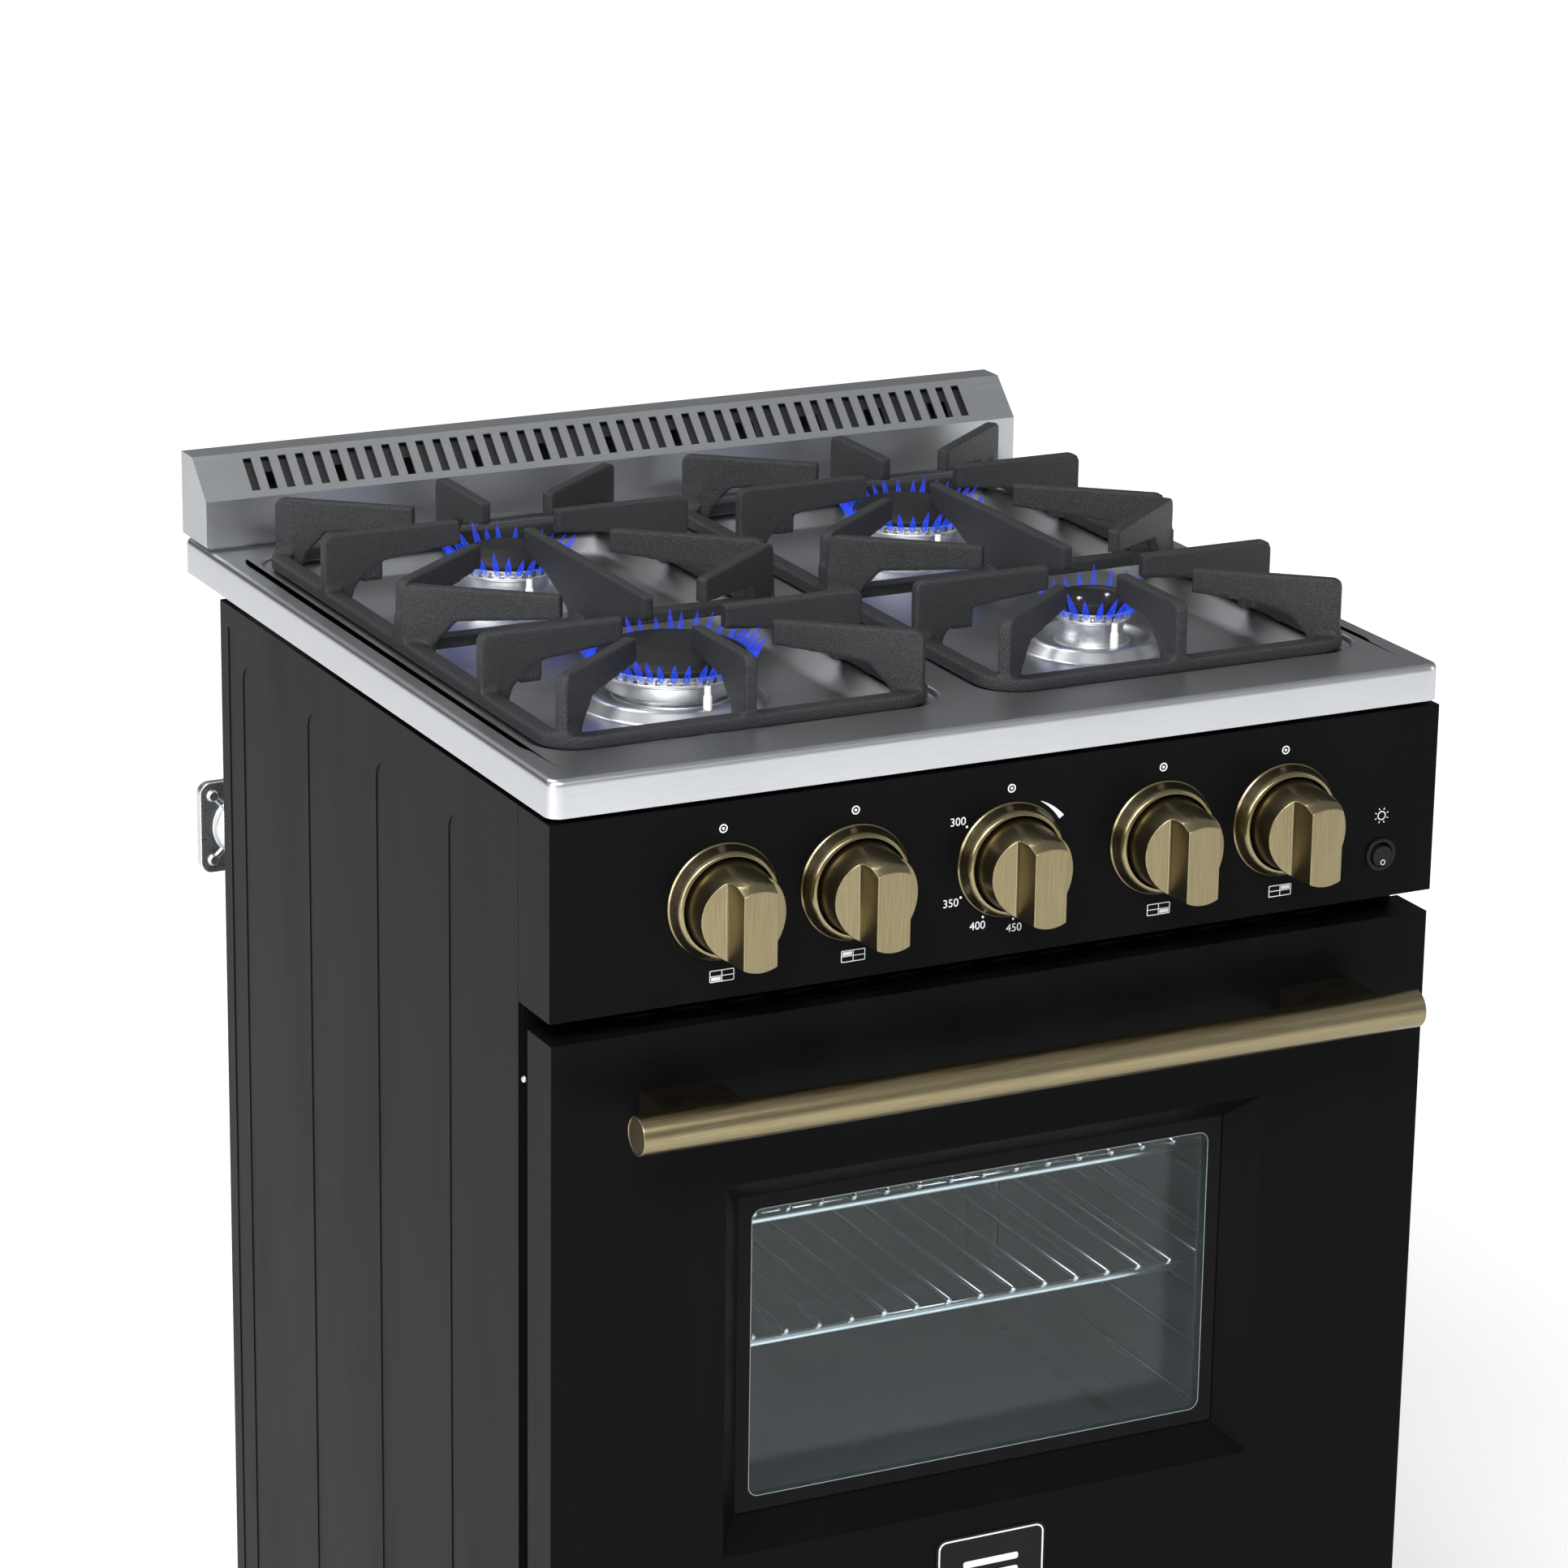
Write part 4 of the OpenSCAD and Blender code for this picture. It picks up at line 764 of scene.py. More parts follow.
class RANGE_OT_grates(bpy.types.Operator):
    """Build the two cast grates: their fingers run out into the frame bar, and all edges are rounded"""
    bl_idname = "range.grates"
    bl_label = "Cast grates"

    def execute(self, context):
        bar_top = TOP_Z + 6 * MM
        for node in ("grate_left", "grate_right"):
            low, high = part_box(node)
            cx, cy = (low.x + high.x) / 2, (low.y + high.y) / 2
            w, l = (high.x - low.x) / 2, (high.y - low.y) / 2
            bm = bmesh.new()
            bm.from_mesh(NODES[node].data)
            bmesh.ops.remove_doubles(bm, verts=bm.verts, dist=1e-6)
            inset = sizes().burner_inset
            feet = []
            for s in (-1, 1):
                for e in (-1, 1):
                    feet.append((s * (w - 6 * MM), e * (l - inset), 90))
                    feet.append((s * (w - 6 * MM), e * 4 * MM, 90))
                    feet.append((s * (w - 15 * MM), e * (l - 15 * MM), 45 * s * e + 90))
            feet += [(0, l - 6 * MM, 0), (0, 6 * MM - l, 0)]
            for x, y, turn in feet:
                along = Vector((math.cos(math.radians(turn)), math.sin(math.radians(turn)), 0))
                across = Vector((-along.y, along.x, 0)) * 10.4 * MM
                start = Vector((cx + x, cy + y, bar_top)) - across / 2
                side = rounded([(-15, -2), (-15, -0.6), (-4, 0), (-3.6, 14)], [0, 0, 9, 0], 5)
                outline = [(p.x, p.y) for p in side] + [(-p.x, p.y) for p in reversed(side)]
                prism(bm, [outline], lambda u, v: start + along * u * MM + Vector((0, 0, v * MM)), across)
            for s in (-1, 1):
                for e in (-1, 1):
                    lug = Vector((cx + s * (w - 34 * MM), cy + e * (l - inset), bar_top + 8 * MM))
                    half = Vector((7 * MM, 3.6 * MM, 5 * MM))
                    box_into(bm, lug - half, lug + half)
            obj = piece(node + "_casting", bm, "grate_" + node.split("_")[1], "cast_iron", [node])
            mesh = obj.modifiers.new("cells", "REMESH")
            mesh.mode = "VOXEL"
            mesh.voxel_size = sizes().cast_voxel
            mesh.use_smooth_shade = True
            relax = obj.modifiers.new("relax", "SMOOTH")
            relax.factor = 0.5
            relax.iterations = 4
        return {"FINISHED"}


class RANGE_OT_burners(bpy.types.Operator):
    """Build the burners: ported heads, domed caps, igniters and the base rings under them"""
    bl_idname = "range.burners"
    bl_label = "Burners"

    def execute(self, context):
        heads, teeth, caps, igniters, tips = (bmesh.new() for _ in range(5))
        for bx, by, r in burner_places():
            at = Vector((bx, by, TOP_Z))
            body = rounded([(6 * MM, -4 * MM), (r - 4.5 * MM, -4 * MM), (r - 3.5 * MM, 4.5 * MM),
                            (r, 5.5 * MM), (r, 7.5 * MM), (r - 4 * MM, 8 * MM), (r - 4 * MM, 12 * MM),
                            (6 * MM, 12 * MM)], 0.5 * MM, 3)
            lathe(heads, [(p.x, p.y) for p in body], at, n=72)
            ring = [(r - 5 * MM, 11.4 * MM), (r - 0.3 * MM, 11.4 * MM), (r - 0.3 * MM, 12.45 * MM),
                    (r - 5 * MM, 12.45 * MM)]
            lathe(heads, ring + ring[:1], at, n=72)
            count = port_count(r)
            for k in range(count):
                turn = Matrix.Rotation(2 * math.pi * (k + 0.5) / count, 4, "Z")
                low = turn @ Vector((r - 2.4 * MM, 0, 0)) + at
                half = Vector((2.1 * MM, math.pi * r / count * 0.58, 2.1 * MM))
                mid = Vector((low.x, low.y, at.z + FLAME_ROOT))
                box_into(teeth, mid - half, mid + half, turn)
            if r < 0.028:
                shape = rounded([(0, 0.1 * MM), (r - 1 * MM, 0.1 * MM), (r + 0.4 * MM, 1.2 * MM),
                                 (r - 0.2 * MM, 6.8 * MM), (r - 5 * MM, 7.2 * MM), (r - 6 * MM, 5.6 * MM),
                                 (0, 5.4 * MM)], 0.8 * MM, 4)
            else:
                shape = rounded([(0, 0.1 * MM), (r - 1 * MM, 0.1 * MM), (r + 0.4 * MM, 1.6 * MM), (r, 4 * MM),
                                 (r - 5 * MM, 6.6 * MM), (r * 0.5, 10.3 * MM), (0, 11.4 * MM)], 2.2 * MM, 6)
            up = Vector((at.x, at.y, at.z + CAP_SEAT))
            lathe(caps, [(max(p.x, 0), p.y) for p in shape], up, n=96)
            pin = Vector((bx, by - r - 4 * MM, at.z))
            cone = rounded([(0, -20 * MM), (2.7 * MM, -20 * MM), (2.7 * MM, 1 * MM), (2.1 * MM, 2.5 * MM),
                            (2.0 * MM, 8 * MM), (0, 8 * MM)], 0.5 * MM, 3)
            lathe(igniters, [(max(p.x, 0), p.y) for p in cone], pin, n=28)
            tip = [(0, 7), (0.8, 7), (0.8, 10.4), (0.3, 11), (0, 11)]
            lathe(tips, [(x * MM, h * MM) for x, h in tip], pin, n=16)
        piece("burner_head_castings", heads, "root", "aluminium", ["burner_heads"])
        piece("burner_port_teeth", teeth, "root", "aluminium")
        piece("burner_cap_domes", caps, "root", "cap_enamel", ["burner_caps"], limit=60)
        piece("igniter_ceramics", igniters, "root", "ceramic", ["igniters"])
        piece("igniter_tips", tips, "root", "screw_steel")
        screws = bmesh.new()
        bx, by, r = burner_places()[3]
        for s in (-1, 1):
            at = Vector((bx + s * r * 0.42, by, TOP_Z + CAP_SEAT + 5.4 * MM))
            lathe(screws, [(0, 0.6 * MM), (1.1 * MM, 0.6 * MM), (1.2 * MM, 1.0 * MM), (2.0 * MM, 1.0 * MM),
                           (2.2 * MM, 0.6 * MM), (2.2 * MM, -1 * MM)], at, n=24)
        piece("cap_screws", screws, "root", "screw_steel")
        dress("burner_bases", "aluminium", 0.3 * MM)
        return {"FINISHED"}


class RANGE_OT_body(bpy.types.Operator):
    """Dress the painted body sheets, the base, the legs and the parts on the back"""
    bl_idname = "range.body"
    bl_label = "Body sheets"

    def execute(self, context):
        edge = sizes().sheet_edge
        for node in ("side_panel_left", "side_panel_right", "back_panel", "kick_panel", "control_panel",
                     "front_frame", "base_frame"):
            dress(node, width=edge)
        dress("leveling_legs", width=0.3 * MM)
        dress("pressure_regulator", width=0.9 * MM, segments=3, limit=25)
        dress("power_inlet", width=0.4 * MM)
        for node in ("spark_module", "gas_manifold", "valve_bodies", "oven_thermostat", "feed_tubes",
                     "flue_duct", "insulation", "hinge_brackets", "hinge_arms", "oven_burner",
                     "broil_burner"):
            dress(node, width=0.3 * MM)
        for k in range(1, 6):
            dress(f"spindle_{k}")
        screws = bmesh.new()
        recess = [(0, 0.9), (0.9, 0.9), (1.1, 1.9), (2.3, 1.9), (3.4, 1.4), (4.0, 0.4), (4.0, 0.0)]
        for x in (-1, 1):
            for z in (0.144, 0.5156, 0.8478):
                head = [(r * MM, h * MM) for r, h in recess]
                lathe(screws, head, (x * 0.291, FRONT_Y + 0.526, z), "back", 32)
            small = [(r * 0.56 * MM, h * 0.9 * MM) for r, h in recess]
            place = (x * 0.2978, FRONT_Y + 0.0405, DOOR_TOP - 0.033)
            lathe(screws, small, place, "right" if x > 0 else "left", 24)
        piece("body_screw_heads", screws, "root", "screw_steel", ["body_screws"])
        return {"FINISHED"}


DIAL = (("300", 141), ("350", 211), ("400", 243), ("450", 275), ("500", 307))


def mark(bm, loops, depth=0.12):
    """A printed mark on the control panel. Outlines are (x, z) in millimetres."""
    prism(bm, loops, lambda u, v: Vector((u * MM, PANEL_Y - 0.02 * MM, v * MM)), Vector((0, -depth * MM, 0)))


def bar_mark(bm, x, z, half_w, half_h):
    """A printed bar on the control panel, in millimetres."""
    mark(bm, [round_rect(x, z, half_w, half_h, 0.05)])


class RANGE_OT_controls(bpy.types.Operator):
    """Build the knob bezels, the lamp switch's marks and the printed marks of the control panel"""
    bl_idname = "range.controls"
    bl_label = "Controls"

    def execute(self, context):
        brass, dark = tuple(colours().brass), tuple(colours().brass_dark)
        ring = rounded([(29.7, -0.4), (36.1, -0.4), (36.1, 1.3), (35.1, 2.2), (32.8, 9.0), (31.6, 10.7),
                        (29.9, 11.0), (29.6, 10.2), (29.7, -0.4)], [0, 0, 0.8, 0.6, 2.0, 1.2, 0.7, 0.3, 0], 5)
        for k, (x, y, z) in enumerate(KNOB_AXES, start=1):
            bm = bmesh.new()
            lathe(bm, [(p.x * MM, p.y * MM) for p in ring], (x, PANEL_Y, z), "front", 96)
            MADE[f"bezel_{k}"] = turned(f"bezel_{k}", brass, dark, (x, PANEL_Y, z), 0.20)
            stands_for = ["knob_bezels"] if k == 1 else ()
            piece(f"knob_bezel_{k}", bm, "root", "antique_brass", stands_for, f"bezel_{k}", 40)
            dress(f"knob_{k}", "antique_brass", 0.55 * MM, 3)
        marks = bmesh.new()
        top_row, low_row = KNOB_Z / MM + 44.2, KNOB_Z / MM - 45.8
        for x, quarter in ((-190, (0, 0)), (-104, (0, 1)), (0, None), (104, (1, 0)), (190, (1, 1))):
            mark(marks, [circle_points(x, top_row, 2.7, 32), circle_points(x, top_row, 1.9, 32)[::-1]])
            mark(marks, [circle_points(x, top_row, 0.9, 20)])
            if not quarter:
                continue
            mark(marks, [round_rect(x, low_row, 8.0, 3.7, 0.8), round_rect(x, low_row, 7.5, 3.2, 0.5)[::-1]])
            bar_mark(marks, x, low_row, 0.25, 3.3)
            for side in (-1, 1):
                bar_mark(marks, x + side * 3.9, low_row, 3.6, 0.25)
            side, row = (1 if quarter[0] else -1), (1 if quarter[1] else -1)
            mark(marks, [round_rect(x + side * 3.85, low_row + row * 1.7, 3.1, 1.1, 0.3)])
        for _, turn in DIAL:
            a = math.radians(turn)
            mark(marks, [circle_points(38.2 * math.cos(a), KNOB_Z / MM + 38.2 * math.sin(a), 0.8, 16)])
        rays = [math.radians(59 - 2.2 * t) for t in range(13)]
        outer = [((39.4 + 0.28 * t) * math.cos(a), KNOB_Z / MM + (39.4 + 0.28 * t) * math.sin(a))
                 for t, a in enumerate(rays)]
        inner = [(39.1 * math.cos(a), KNOB_Z / MM + 39.1 * math.sin(a)) for a in rays]
        mark(marks, [outer + inner[::-1]])
        lamp_x, lamp_z = middle(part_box("switch_rocker")).x / MM, KNOB_Z / MM - 7
        mark(marks, [circle_points(lamp_x, lamp_z, 2.9, 28), circle_points(lamp_x, lamp_z, 2.3, 28)[::-1]])
        for k in range(8):
            a = math.radians(45 * k + 22.5)
            along, across = Vector((math.cos(a), math.sin(a))), Vector((-math.sin(a), math.cos(a)))
            c = Vector((lamp_x, lamp_z))
            corners = [c + along * 3.8 - across * 0.25, c + along * 5.2 - across * 0.25,
                       c + along * 5.2 + across * 0.25, c + along * 3.8 + across * 0.25]
            mark(marks, [[(p.x, p.y) for p in corners]])
        piece("panel_marks", marks, "root", "badge", look="print_white")
        self.dial_numbers()
        dress("switch_housing", width=0.6 * MM, segments=3)
        dress("switch_rocker", width=0.5 * MM, segments=3)
        self.rocker_marks()
        return {"FINISHED"}

    def dial_numbers(self):
        """The temperatures round the oven's knob, as thin raised figures."""
        for text, turn in DIAL:
            a = math.radians(turn)
            curve = bpy.data.curves.new(f"dial_{text}", "FONT")
            curve.body = text
            curve.size = 7.2 * MM
            curve.extrude = 0.05 * MM
            curve.align_x = "CENTER"
            curve.align_y = "CENTER"
            figures = bpy.data.objects.new(f"dial_{text}_curve", curve)
            place = Vector((46 * MM * math.cos(a), PANEL_Y - 0.06 * MM, KNOB_Z + 44 * MM * math.sin(a)))
            mesh = bpy.data.meshes.new_from_object(figures)
            mesh.transform(Matrix.Translation(place) @ Matrix.Rotation(math.pi / 2, 4, "X"))
            bpy.data.objects.remove(figures)
            obj = bpy.data.objects.new(f"dial_{text}", mesh)
            bpy.context.scene.collection.objects.link(obj)
            mesh.materials.clear()
            mesh.materials.append(finish("print_white"))
            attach(obj, "root")

    def rocker_marks(self):
        """The on and off marks pressed into the rocker, drawn on its face."""
        low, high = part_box("switch_rocker")
        cx, cz = (low.x + high.x) / 2, (low.z + high.z) / 2
        bm = bmesh.new()
        tilt = Matrix.Translation((cx, low.y, cz)) @ Matrix.Rotation(math.radians(-7), 4, "X")
        near = lambda u, v: tilt @ Vector((u * MM, 0.55 * MM, v * MM))
        thick = Vector((0, 0.1 * MM, 0))
        prism(bm, [circle_points(0, -4.2, 1.7, 24), circle_points(0, -4.2, 1.25, 24)[::-1]], near, thick)
        prism(bm, [[(-0.25, 2.6), (0.25, 2.6), (0.25, 5.6), (-0.25, 5.6)]], near, thick)
        piece("rocker_marks", bm, "switch_rocker", "badge", look="print_white")


class RANGE_OT_oven(bpy.types.Operator):
    """Dress the oven cavity and build its wire racks, rack guides and lamp"""
    bl_idname = "range.oven"
    bl_label = "Oven"

    def execute(self, context):
        for node in ("oven_liner", "oven_floor"):
            dress(node, merge=False)
        dress("door_gasket")
        dress("oven_lamp", "lamp_glass")
        guides = bmesh.new()
        low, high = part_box("rack_guides")
        r = 3 * MM
        levels = [low.z + 12 * MM + r + k * (high.z - low.z - 24 * MM - 2 * r) / 6 for k in range(7)]
        for s in (-1, 1):
            x = s * (high.x - r)
            for y in (low.y + 33 * MM + r, high.y - 37 * MM - r):
                tube(guides, [(x, y, low.z), (x, y, high.z)], r, 12)
            inner = s * (high.x - r - 5.4 * MM)
            for z in levels:
                path = rounded([(x, low.y + 1 * MM, z), (inner, low.y + 7 * MM, z),
                                (inner, high.y - 7 * MM, z), (x, high.y - 1 * MM, z)], 5 * MM, 4)
                tube(guides, path, r * 0.94, 12)
        piece("rack_guide_wires", guides, "root", "rack_chrome", ["rack_guides"])
        for node in ("rack_upper", "rack_lower"):
            low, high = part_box(node)
            frame_r, thin = 3 * MM, sizes().wire
            z = low.z + frame_r
            bm = bmesh.new()
            front, back = low.y + 3 * MM, high.y - 3 * MM
            left, right = low.x + frame_r, high.x - frame_r
            turn = 12 * MM
            path = []
            for px, py, a0 in ((right - turn, back - turn, 0), (left + turn, back - turn, 90),
                               (left + turn, front + turn, 180), (right - turn, front + turn, 270)):
                for i in range(7):
                    a = math.radians(a0 + 15 * i)
                    path.append((px + turn * math.cos(a), py + turn * math.sin(a), z))
            path.append(path[0])
            tube(bm, path, frame_r, 12, dome=False)
            halfway = front + (back - front) * 0.5
            tube(bm, [(left, halfway, z), (right, halfway, z)], frame_r * 0.95, 12)
            pitch = 22.7 * MM
            count = int((right - left - 10 * MM) / pitch)
            rise = z + frame_r + thin - 0.8 * MM
            for k in range(count + 1):
                x = (k - count / 2) * pitch
                tube(bm, [(x, front - 2.6 * MM, rise), (x, back + 2.6 * MM, rise)], thin, 10)
            piece(node + "_wires", bm, node, "rack_chrome", [node], limit=60)
        return {"FINISHED"}


class RANGE_OT_door(bpy.types.Operator):
    """Build the door's handle, the window's printed border and the badge, and dress its sheets and glass"""
    bl_idname = "range.door"
    bl_label = "Oven door"

    def execute(self, context):
        dress("door_skin", width=sizes().sheet_edge, segments=3)
        dress("door_liner", merge=False)
        for node in ("door_glass_outer", "door_glass_inner"):
            dress(node)
        dress("door_screws", width=0.2 * MM)
        half = (bar_high.x - bar_low.x) / 2
        r = (bar_high.z - bar_low.z) / 2
        centre = middle((bar_low, bar_high))
        shape = rounded([(0, -half + 0.35 * MM), (r - 1.6 * MM, -half + 0.35 * MM), (r - 1.2 * MM, -half),
                         (r, -half), (r, half), (r - 1.2 * MM, half), (r - 1.6 * MM, half - 0.35 * MM),
                         (0, half - 0.35 * MM)],
                        [0, 0.3 * MM, 0.3 * MM, 0.9 * MM, 0.9 * MM, 0.3 * MM, 0.3 * MM, 0], 4)
        bm = bmesh.new()
        lathe(bm, [(max(p.x, 0), p.y) for p in shape], centre, "right", 96)
        piece("handle_tube", bm, "door", "antique_brass", ["handle_bar"], "handle_brass", 50)
        dress("handle_brackets", "bronze", 1.1 * MM, 3)
        self.window_border()
        self.badge()
        return {"FINISHED"}

    def window_border(self):
        """The black border printed on the face of the outer pane, inside the window's bevel."""
        w, h = 0.336 / 2, 0.207 / 2
        z = middle(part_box("door_glass_outer")).z
        bm = bmesh.new()
        edge = sizes().frit
        outer = round_rect(0, 0, w + 3 * MM, h + 3 * MM, 8 * MM)
        inner = round_rect(0, 0, w - edge, h - edge, 7 * MM)
        place = lambda u, v: Vector((u, PANE_Y - 0.02 * MM, z + v))
        prism(bm, [outer, inner[::-1]], place, Vector((0, -0.15 * MM, 0)))
        piece("window_border", bm, "door", "door_glass", look="frit")
        line = bmesh.new()
        inside = round_rect(0, 0, w - edge - 0.5 * MM, h - edge - 0.5 * MM, 6.6 * MM)
        prism(line, [inner, inside[::-1]], place, Vector((0, -0.1 * MM, 0)))
        piece("window_edge_line", line, "door", "door_glass", look="glass_edge")

    def badge(self):
        """The badge under the window: a dark plate with a raised rim and three plain inlaid bars."""
        low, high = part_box("door_badge")
        w, h = (high.x - low.x) / 2, (high.z - low.z) / 2
        z = (low.z + high.z) / 2
        place = lambda u, v: Vector((u, high.y, z + v))
        plate, rim, inlay = bmesh.new(), bmesh.new(), bmesh.new()
        deep = low.y - high.y
        prism(plate, [round_rect(0, 0, w, h, 7 * MM)], place, Vector((0, deep * 0.6, 0)))
        obj = piece("badge_plate", plate, "door", "badge", ["door_badge"])
        soften(obj, 0.25 * MM, weld=False)
        outer = round_rect(0, 0, w - 1.6 * MM, h - 1.6 * MM, 5.6 * MM)
        inner = round_rect(0, 0, w - 2.5 * MM, h - 2.5 * MM, 4.8 * MM)
        prism(rim, [outer, inner[::-1]], place, Vector((0, deep * 0.9, 0)))
        piece("badge_rim", rim, "door", "badge", look="print_white")
        for k in (-1, 0, 1):
            bar = round_rect(0, k * 9 * MM, w * 0.5, 2.2 * MM, 1.6 * MM)
            prism(inlay, [bar], place, Vector((0, deep * 0.85, 0)))
        piece("badge_inlay", inlay, "door", "badge", look="print_white")


class RANGE_OT_flames(bpy.types.Operator):
    """Light the four burners with small blue flames, which belong to the stage and not to the range"""
    bl_idname = "range.flames"
    bl_label = "Flames"

    def execute(self, context):
        pick = random.Random(7)
        bm = bmesh.new()
        for bx, by, r in burner_places():
            count = port_count(r)
            for k in range(count):
                a = 2 * math.pi * (k + 0.5) / count + pick.uniform(-0.03, 0.03)
                out = Vector((math.cos(a), math.sin(a), 0))
                start = Vector((bx, by, TOP_Z + FLAME_ROOT)) + out * (r - 1 * MM)
                long = pick.uniform(14, 22) * MM
                way = (out * 0.72 + Vector((0, 0, pick.uniform(0.55, 0.9)))).normalized()
                rings = []
                side = way.cross(Vector((0, 0, 1))).normalized()
                up = side.cross(way)
                for t, wide in ((0, 0.9), (0.2, 2.1), (0.5, 1.9), (0.8, 1.0), (1.0, 0.08)):
                    bend = Vector((0, 0, 3.2 * MM * t * t))
                    at = start + way * long * t + bend
                    rings.append([bm.verts.new(at + (side * math.cos(q) + up * math.sin(q)) * wide * MM)
                                  for q in (2 * math.pi * j / 8 for j in range(8))])
                for a_ring, b_ring in zip(rings, rings[1:]):
                    bridge(bm, a_ring, b_ring)
        shade(bm, 80)
        mesh = bpy.data.meshes.new("flames")
        bm.to_mesh(mesh)
        bm.free()
        obj = bpy.data.objects.new("flames", mesh)
        bpy.context.scene.collection.objects.link(obj)
        mesh.materials.append(flame_material())
        obj.visible_shadow = False
        return {"FINISHED"}


def flame_material():
    """A thin glowing flame: blue at its root, violet at its tip and clearer where seen square on."""
    material = bpy.data.materials.new("gas_flame")
    material.use_nodes = True
    tree = material.node_tree
    tree.nodes.clear()
    place = put(tree, "ShaderNodeTexCoord").outputs["Object"]
    height = put(tree, "ShaderNodeSeparateXYZ", {0: place}).outputs[2]
    tip = span(tree, height, TOP_Z + 9 * MM, TOP_Z + 22 * MM)
    flicker = span(tree, noise(tree, place, 300.0, 2.0), 0.3, 0.7, 0.6, 1.3)
    tone = mix_colour(tree, tip, tuple(colours().flame), (0.05, 0.08, 1.0))
    glow = put(tree, "ShaderNodeEmission", {"Color": tone, "Strength": flicker})
    clear = put(tree, "ShaderNodeBsdfTransparent")
    facing = put(tree, "ShaderNodeLayerWeight", {"Blend": 0.45}).outputs["Facing"]
    share = math_node(tree, "MULTIPLY_ADD", facing, 0.55)
    tree.nodes[-1].inputs[2].default_value = 0.22
    both = put(tree, "ShaderNodeMixShader", {0: share, 1: clear.outputs[0], 2: glow.outputs[0]})
    put(tree, "ShaderNodeOutputMaterial", {"Surface": both.outputs[0]})
    return material


# ---- stage ----------------------------------------------------------------------------------------


def floor_with_painted_glow_material():
    """A pale, matt studio floor with a very faint mottle and a painted glow: its emission runs from dim grey near
    the middle to white far away, so the floor is painted lighter with distance and darker round the range's base.
    """
    material = bpy.data.materials.new("studio_floor")
    material.use_nodes = True
    tree = material.node_tree
    bsdf = tree.nodes["Principled BSDF"]
    place = put(tree, "ShaderNodeTexCoord").outputs["Object"]
    tone = span(tree, noise(tree, place, 3.0, 3.0), 0.3, 0.7)
    tree.links.new(mix_colour(tree, tone, (0.93, 0.93, 0.93), (0.95, 0.95, 0.95)), bsdf.inputs["Base Color"])
    away = put(tree, "ShaderNodeVectorMath", {0: place}, operation="LENGTH").outputs["Value"]
    # painted glow: the emission is dim grey within 0.7 m of the middle and turns white by 3.5 m, painted light on
    # the distant floor and painted shade round the range's base
    far = span(tree, away, 0.7, 3.5)
    tree.links.new(mix_colour(tree, far, (0.10, 0.10, 0.10), (1.0, 1.0, 1.0)), bsdf.inputs["Emission Color"])
    bsdf.inputs["Emission Strength"].default_value = 0.62
    bsdf.inputs["Roughness"].default_value = 0.8
    bsdf.inputs["Specular IOR Level"].default_value = 0.2
    return material


def area_light(name, place, target, size, watts, tint=(1, 1, 1)):
    """A rectangular soft light that faces a point."""
    data = bpy.data.lights.new(name, "AREA")
    data.shape = "RECTANGLE"
    data.size, data.size_y = size
    data.energy = watts
    data.color = tint
    obj = bpy.data.objects.new(name, data)
    obj.location = place
    obj.rotation_euler = (Vector(target) - Vector(place)).to_track_quat("-Z", "Y").to_euler()
    bpy.context.scene.collection.objects.link(obj)
    return obj


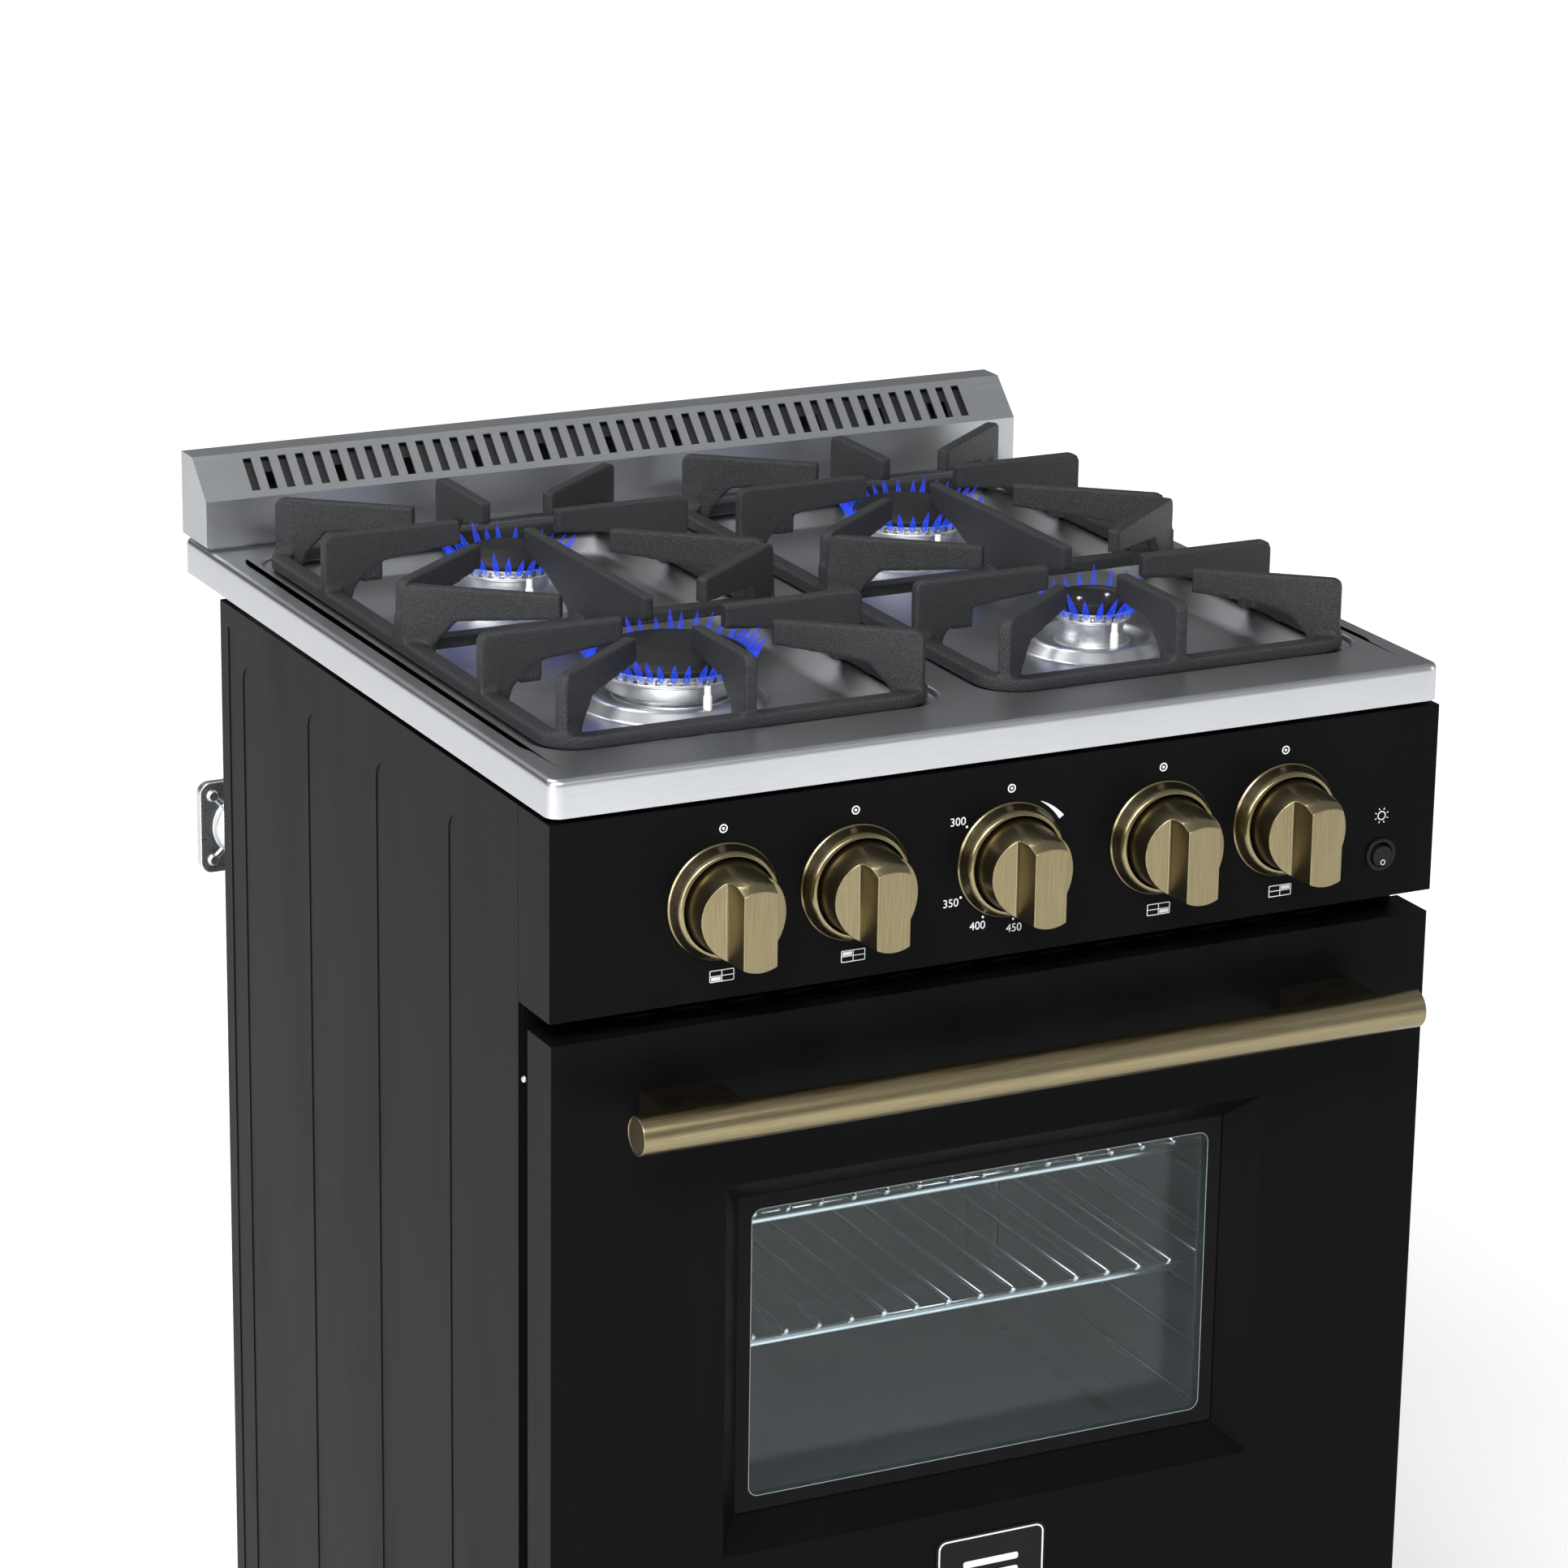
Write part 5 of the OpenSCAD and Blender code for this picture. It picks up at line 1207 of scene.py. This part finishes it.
class RANGE_OT_stage(bpy.types.Operator):
    """Set up the pale floor, the soft lights and the camera"""
    bl_idname = "range.stage"
    bl_label = "Studio"

    def execute(self, context):
        scene = bpy.context.scene
        bpy.ops.mesh.primitive_grid_add(x_subdivisions=8, y_subdivisions=8, size=60, location=(0, 0, -0.0005))
        floor = bpy.context.object
        floor.name = "studio_floor"
        floor.data.materials.append(floor_with_painted_glow_material())
        area_light("key", (-1.9, -2.2, 3.3), (0, 0, 0.7), (1.5, 1.1), 95)
        area_light("top", (-0.9, 1.0, 3.3), (0, 0, 0.9), (1.5, 1.3), 45)
        area_light("left", (-3.0, -1.5, 1.5), (0, 0, 0.7), (0.7, 2.4), 55)
        area_light("strip", (-0.9, -2.3, 2.8), (0, -0.3, 0.75), (2.6, 0.3), 60)
        area_light("right", (3.2, -1.6, 1.7), (0, 0, 0.7), (1.2, 2.2), 20)
        lamp = bpy.data.lights.new("oven_glow", "POINT")
        lamp.energy = 0.2
        lamp.shadow_soft_size = 0.03
        lamp.color = (0.93, 0.97, 1.0)
        glow = bpy.data.objects.new("oven_glow", lamp)
        glow.location = (0.05, -0.12, 0.64)
        scene.collection.objects.link(glow)
        self.sky(scene)
        data = bpy.data.cameras.new("camera")
        data.lens = 123.95
        data.sensor_width = 36
        data.clip_end = 200
        camera = bpy.data.objects.new("camera", data)
        right = Vector((0.89511608, -0.44561742, 0.01386801))
        forward = Vector((0.42878141, 0.85194361, -0.30056377))
        up = right.cross(forward)
        turn = Matrix((right, up, -forward)).transposed().to_4x4()
        camera.matrix_world = Matrix.Translation((-1.49312, -2.93454, 1.83462)) @ turn
        scene.collection.objects.link(camera)
        scene.camera = camera
        scene.view_settings.view_transform = "Standard"
        scene.view_settings.look = "None"
        return {"FINISHED"}

    def sky(self, scene):
        """A bright studio all round that darkens behind and low down, where the cooktop mirrors it."""
        world = bpy.data.worlds.new("studio")
        scene.world = world
        world.use_nodes = True
        tree = world.node_tree
        tree.nodes.clear()
        way = put(tree, "ShaderNodeTexCoord").outputs["Generated"]
        part = put(tree, "ShaderNodeSeparateXYZ", {0: way})
        behind = span(tree, part.outputs[1], 0.15, 0.75)
        low = span(tree, part.outputs[2], 0.75, 0.25)
        dark = math_node(tree, "MULTIPLY", behind, low)
        front = span(tree, part.outputs[1], 0.2, -0.8, 0.40, 0.46)
        strength = math_node(tree, "MULTIPLY", front, span(tree, dark, 0, 1, 1.0, 0.30))
        sky = put(tree, "ShaderNodeBackground", {"Color": (0.95, 0.97, 1.0, 1), "Strength": strength})
        put(tree, "ShaderNodeOutputWorld", {"Surface": sky.outputs[0]})


# ---- the add-on -----------------------------------------------------------------------------------

STEPS = (RANGE_OT_cooktop, RANGE_OT_grates, RANGE_OT_burners, RANGE_OT_body, RANGE_OT_controls, RANGE_OT_oven,
         RANGE_OT_door, RANGE_OT_flames, RANGE_OT_stage)


class RANGE_PT_panel(bpy.types.Panel):
    """The range's sizes, colours and building steps"""
    bl_idname = "RANGE_PT_panel"
    bl_label = "Gas range"
    bl_space_type = "VIEW_3D"
    bl_region_type = "UI"
    bl_category = "Gas range"

    def draw(self, context):
        layout = self.layout
        for settings in (context.scene.range_sizes, context.scene.range_colours):
            box = layout.box()
            for name in settings.__annotations__:
                box.prop(settings, name)
        for step in STEPS:
            layout.operator(step.bl_idname)


CLASSES = (RangeSizes, RangeColours, *STEPS, RANGE_PT_panel)


def register():
    """Registers the classes and the two groups of settings."""
    for cls in CLASSES:
        bpy.utils.register_class(cls)
    bpy.types.Scene.range_sizes = PointerProperty(type=RangeSizes)
    bpy.types.Scene.range_colours = PointerProperty(type=RangeColours)


def unregister():
    """Removes them again."""
    del bpy.types.Scene.range_colours
    del bpy.types.Scene.range_sizes
    for cls in reversed(CLASSES):
        bpy.utils.unregister_class(cls)


def main():
    """Builds every piece in order."""
    register()
    for step in STEPS:
        space, action = step.bl_idname.split(".")
        result = getattr(getattr(bpy.ops, space), action)()
        if result != {"FINISHED"}:
            raise RuntimeError(f"{step.bl_label} wasn't built")


if __name__ == "__main__":
    main()
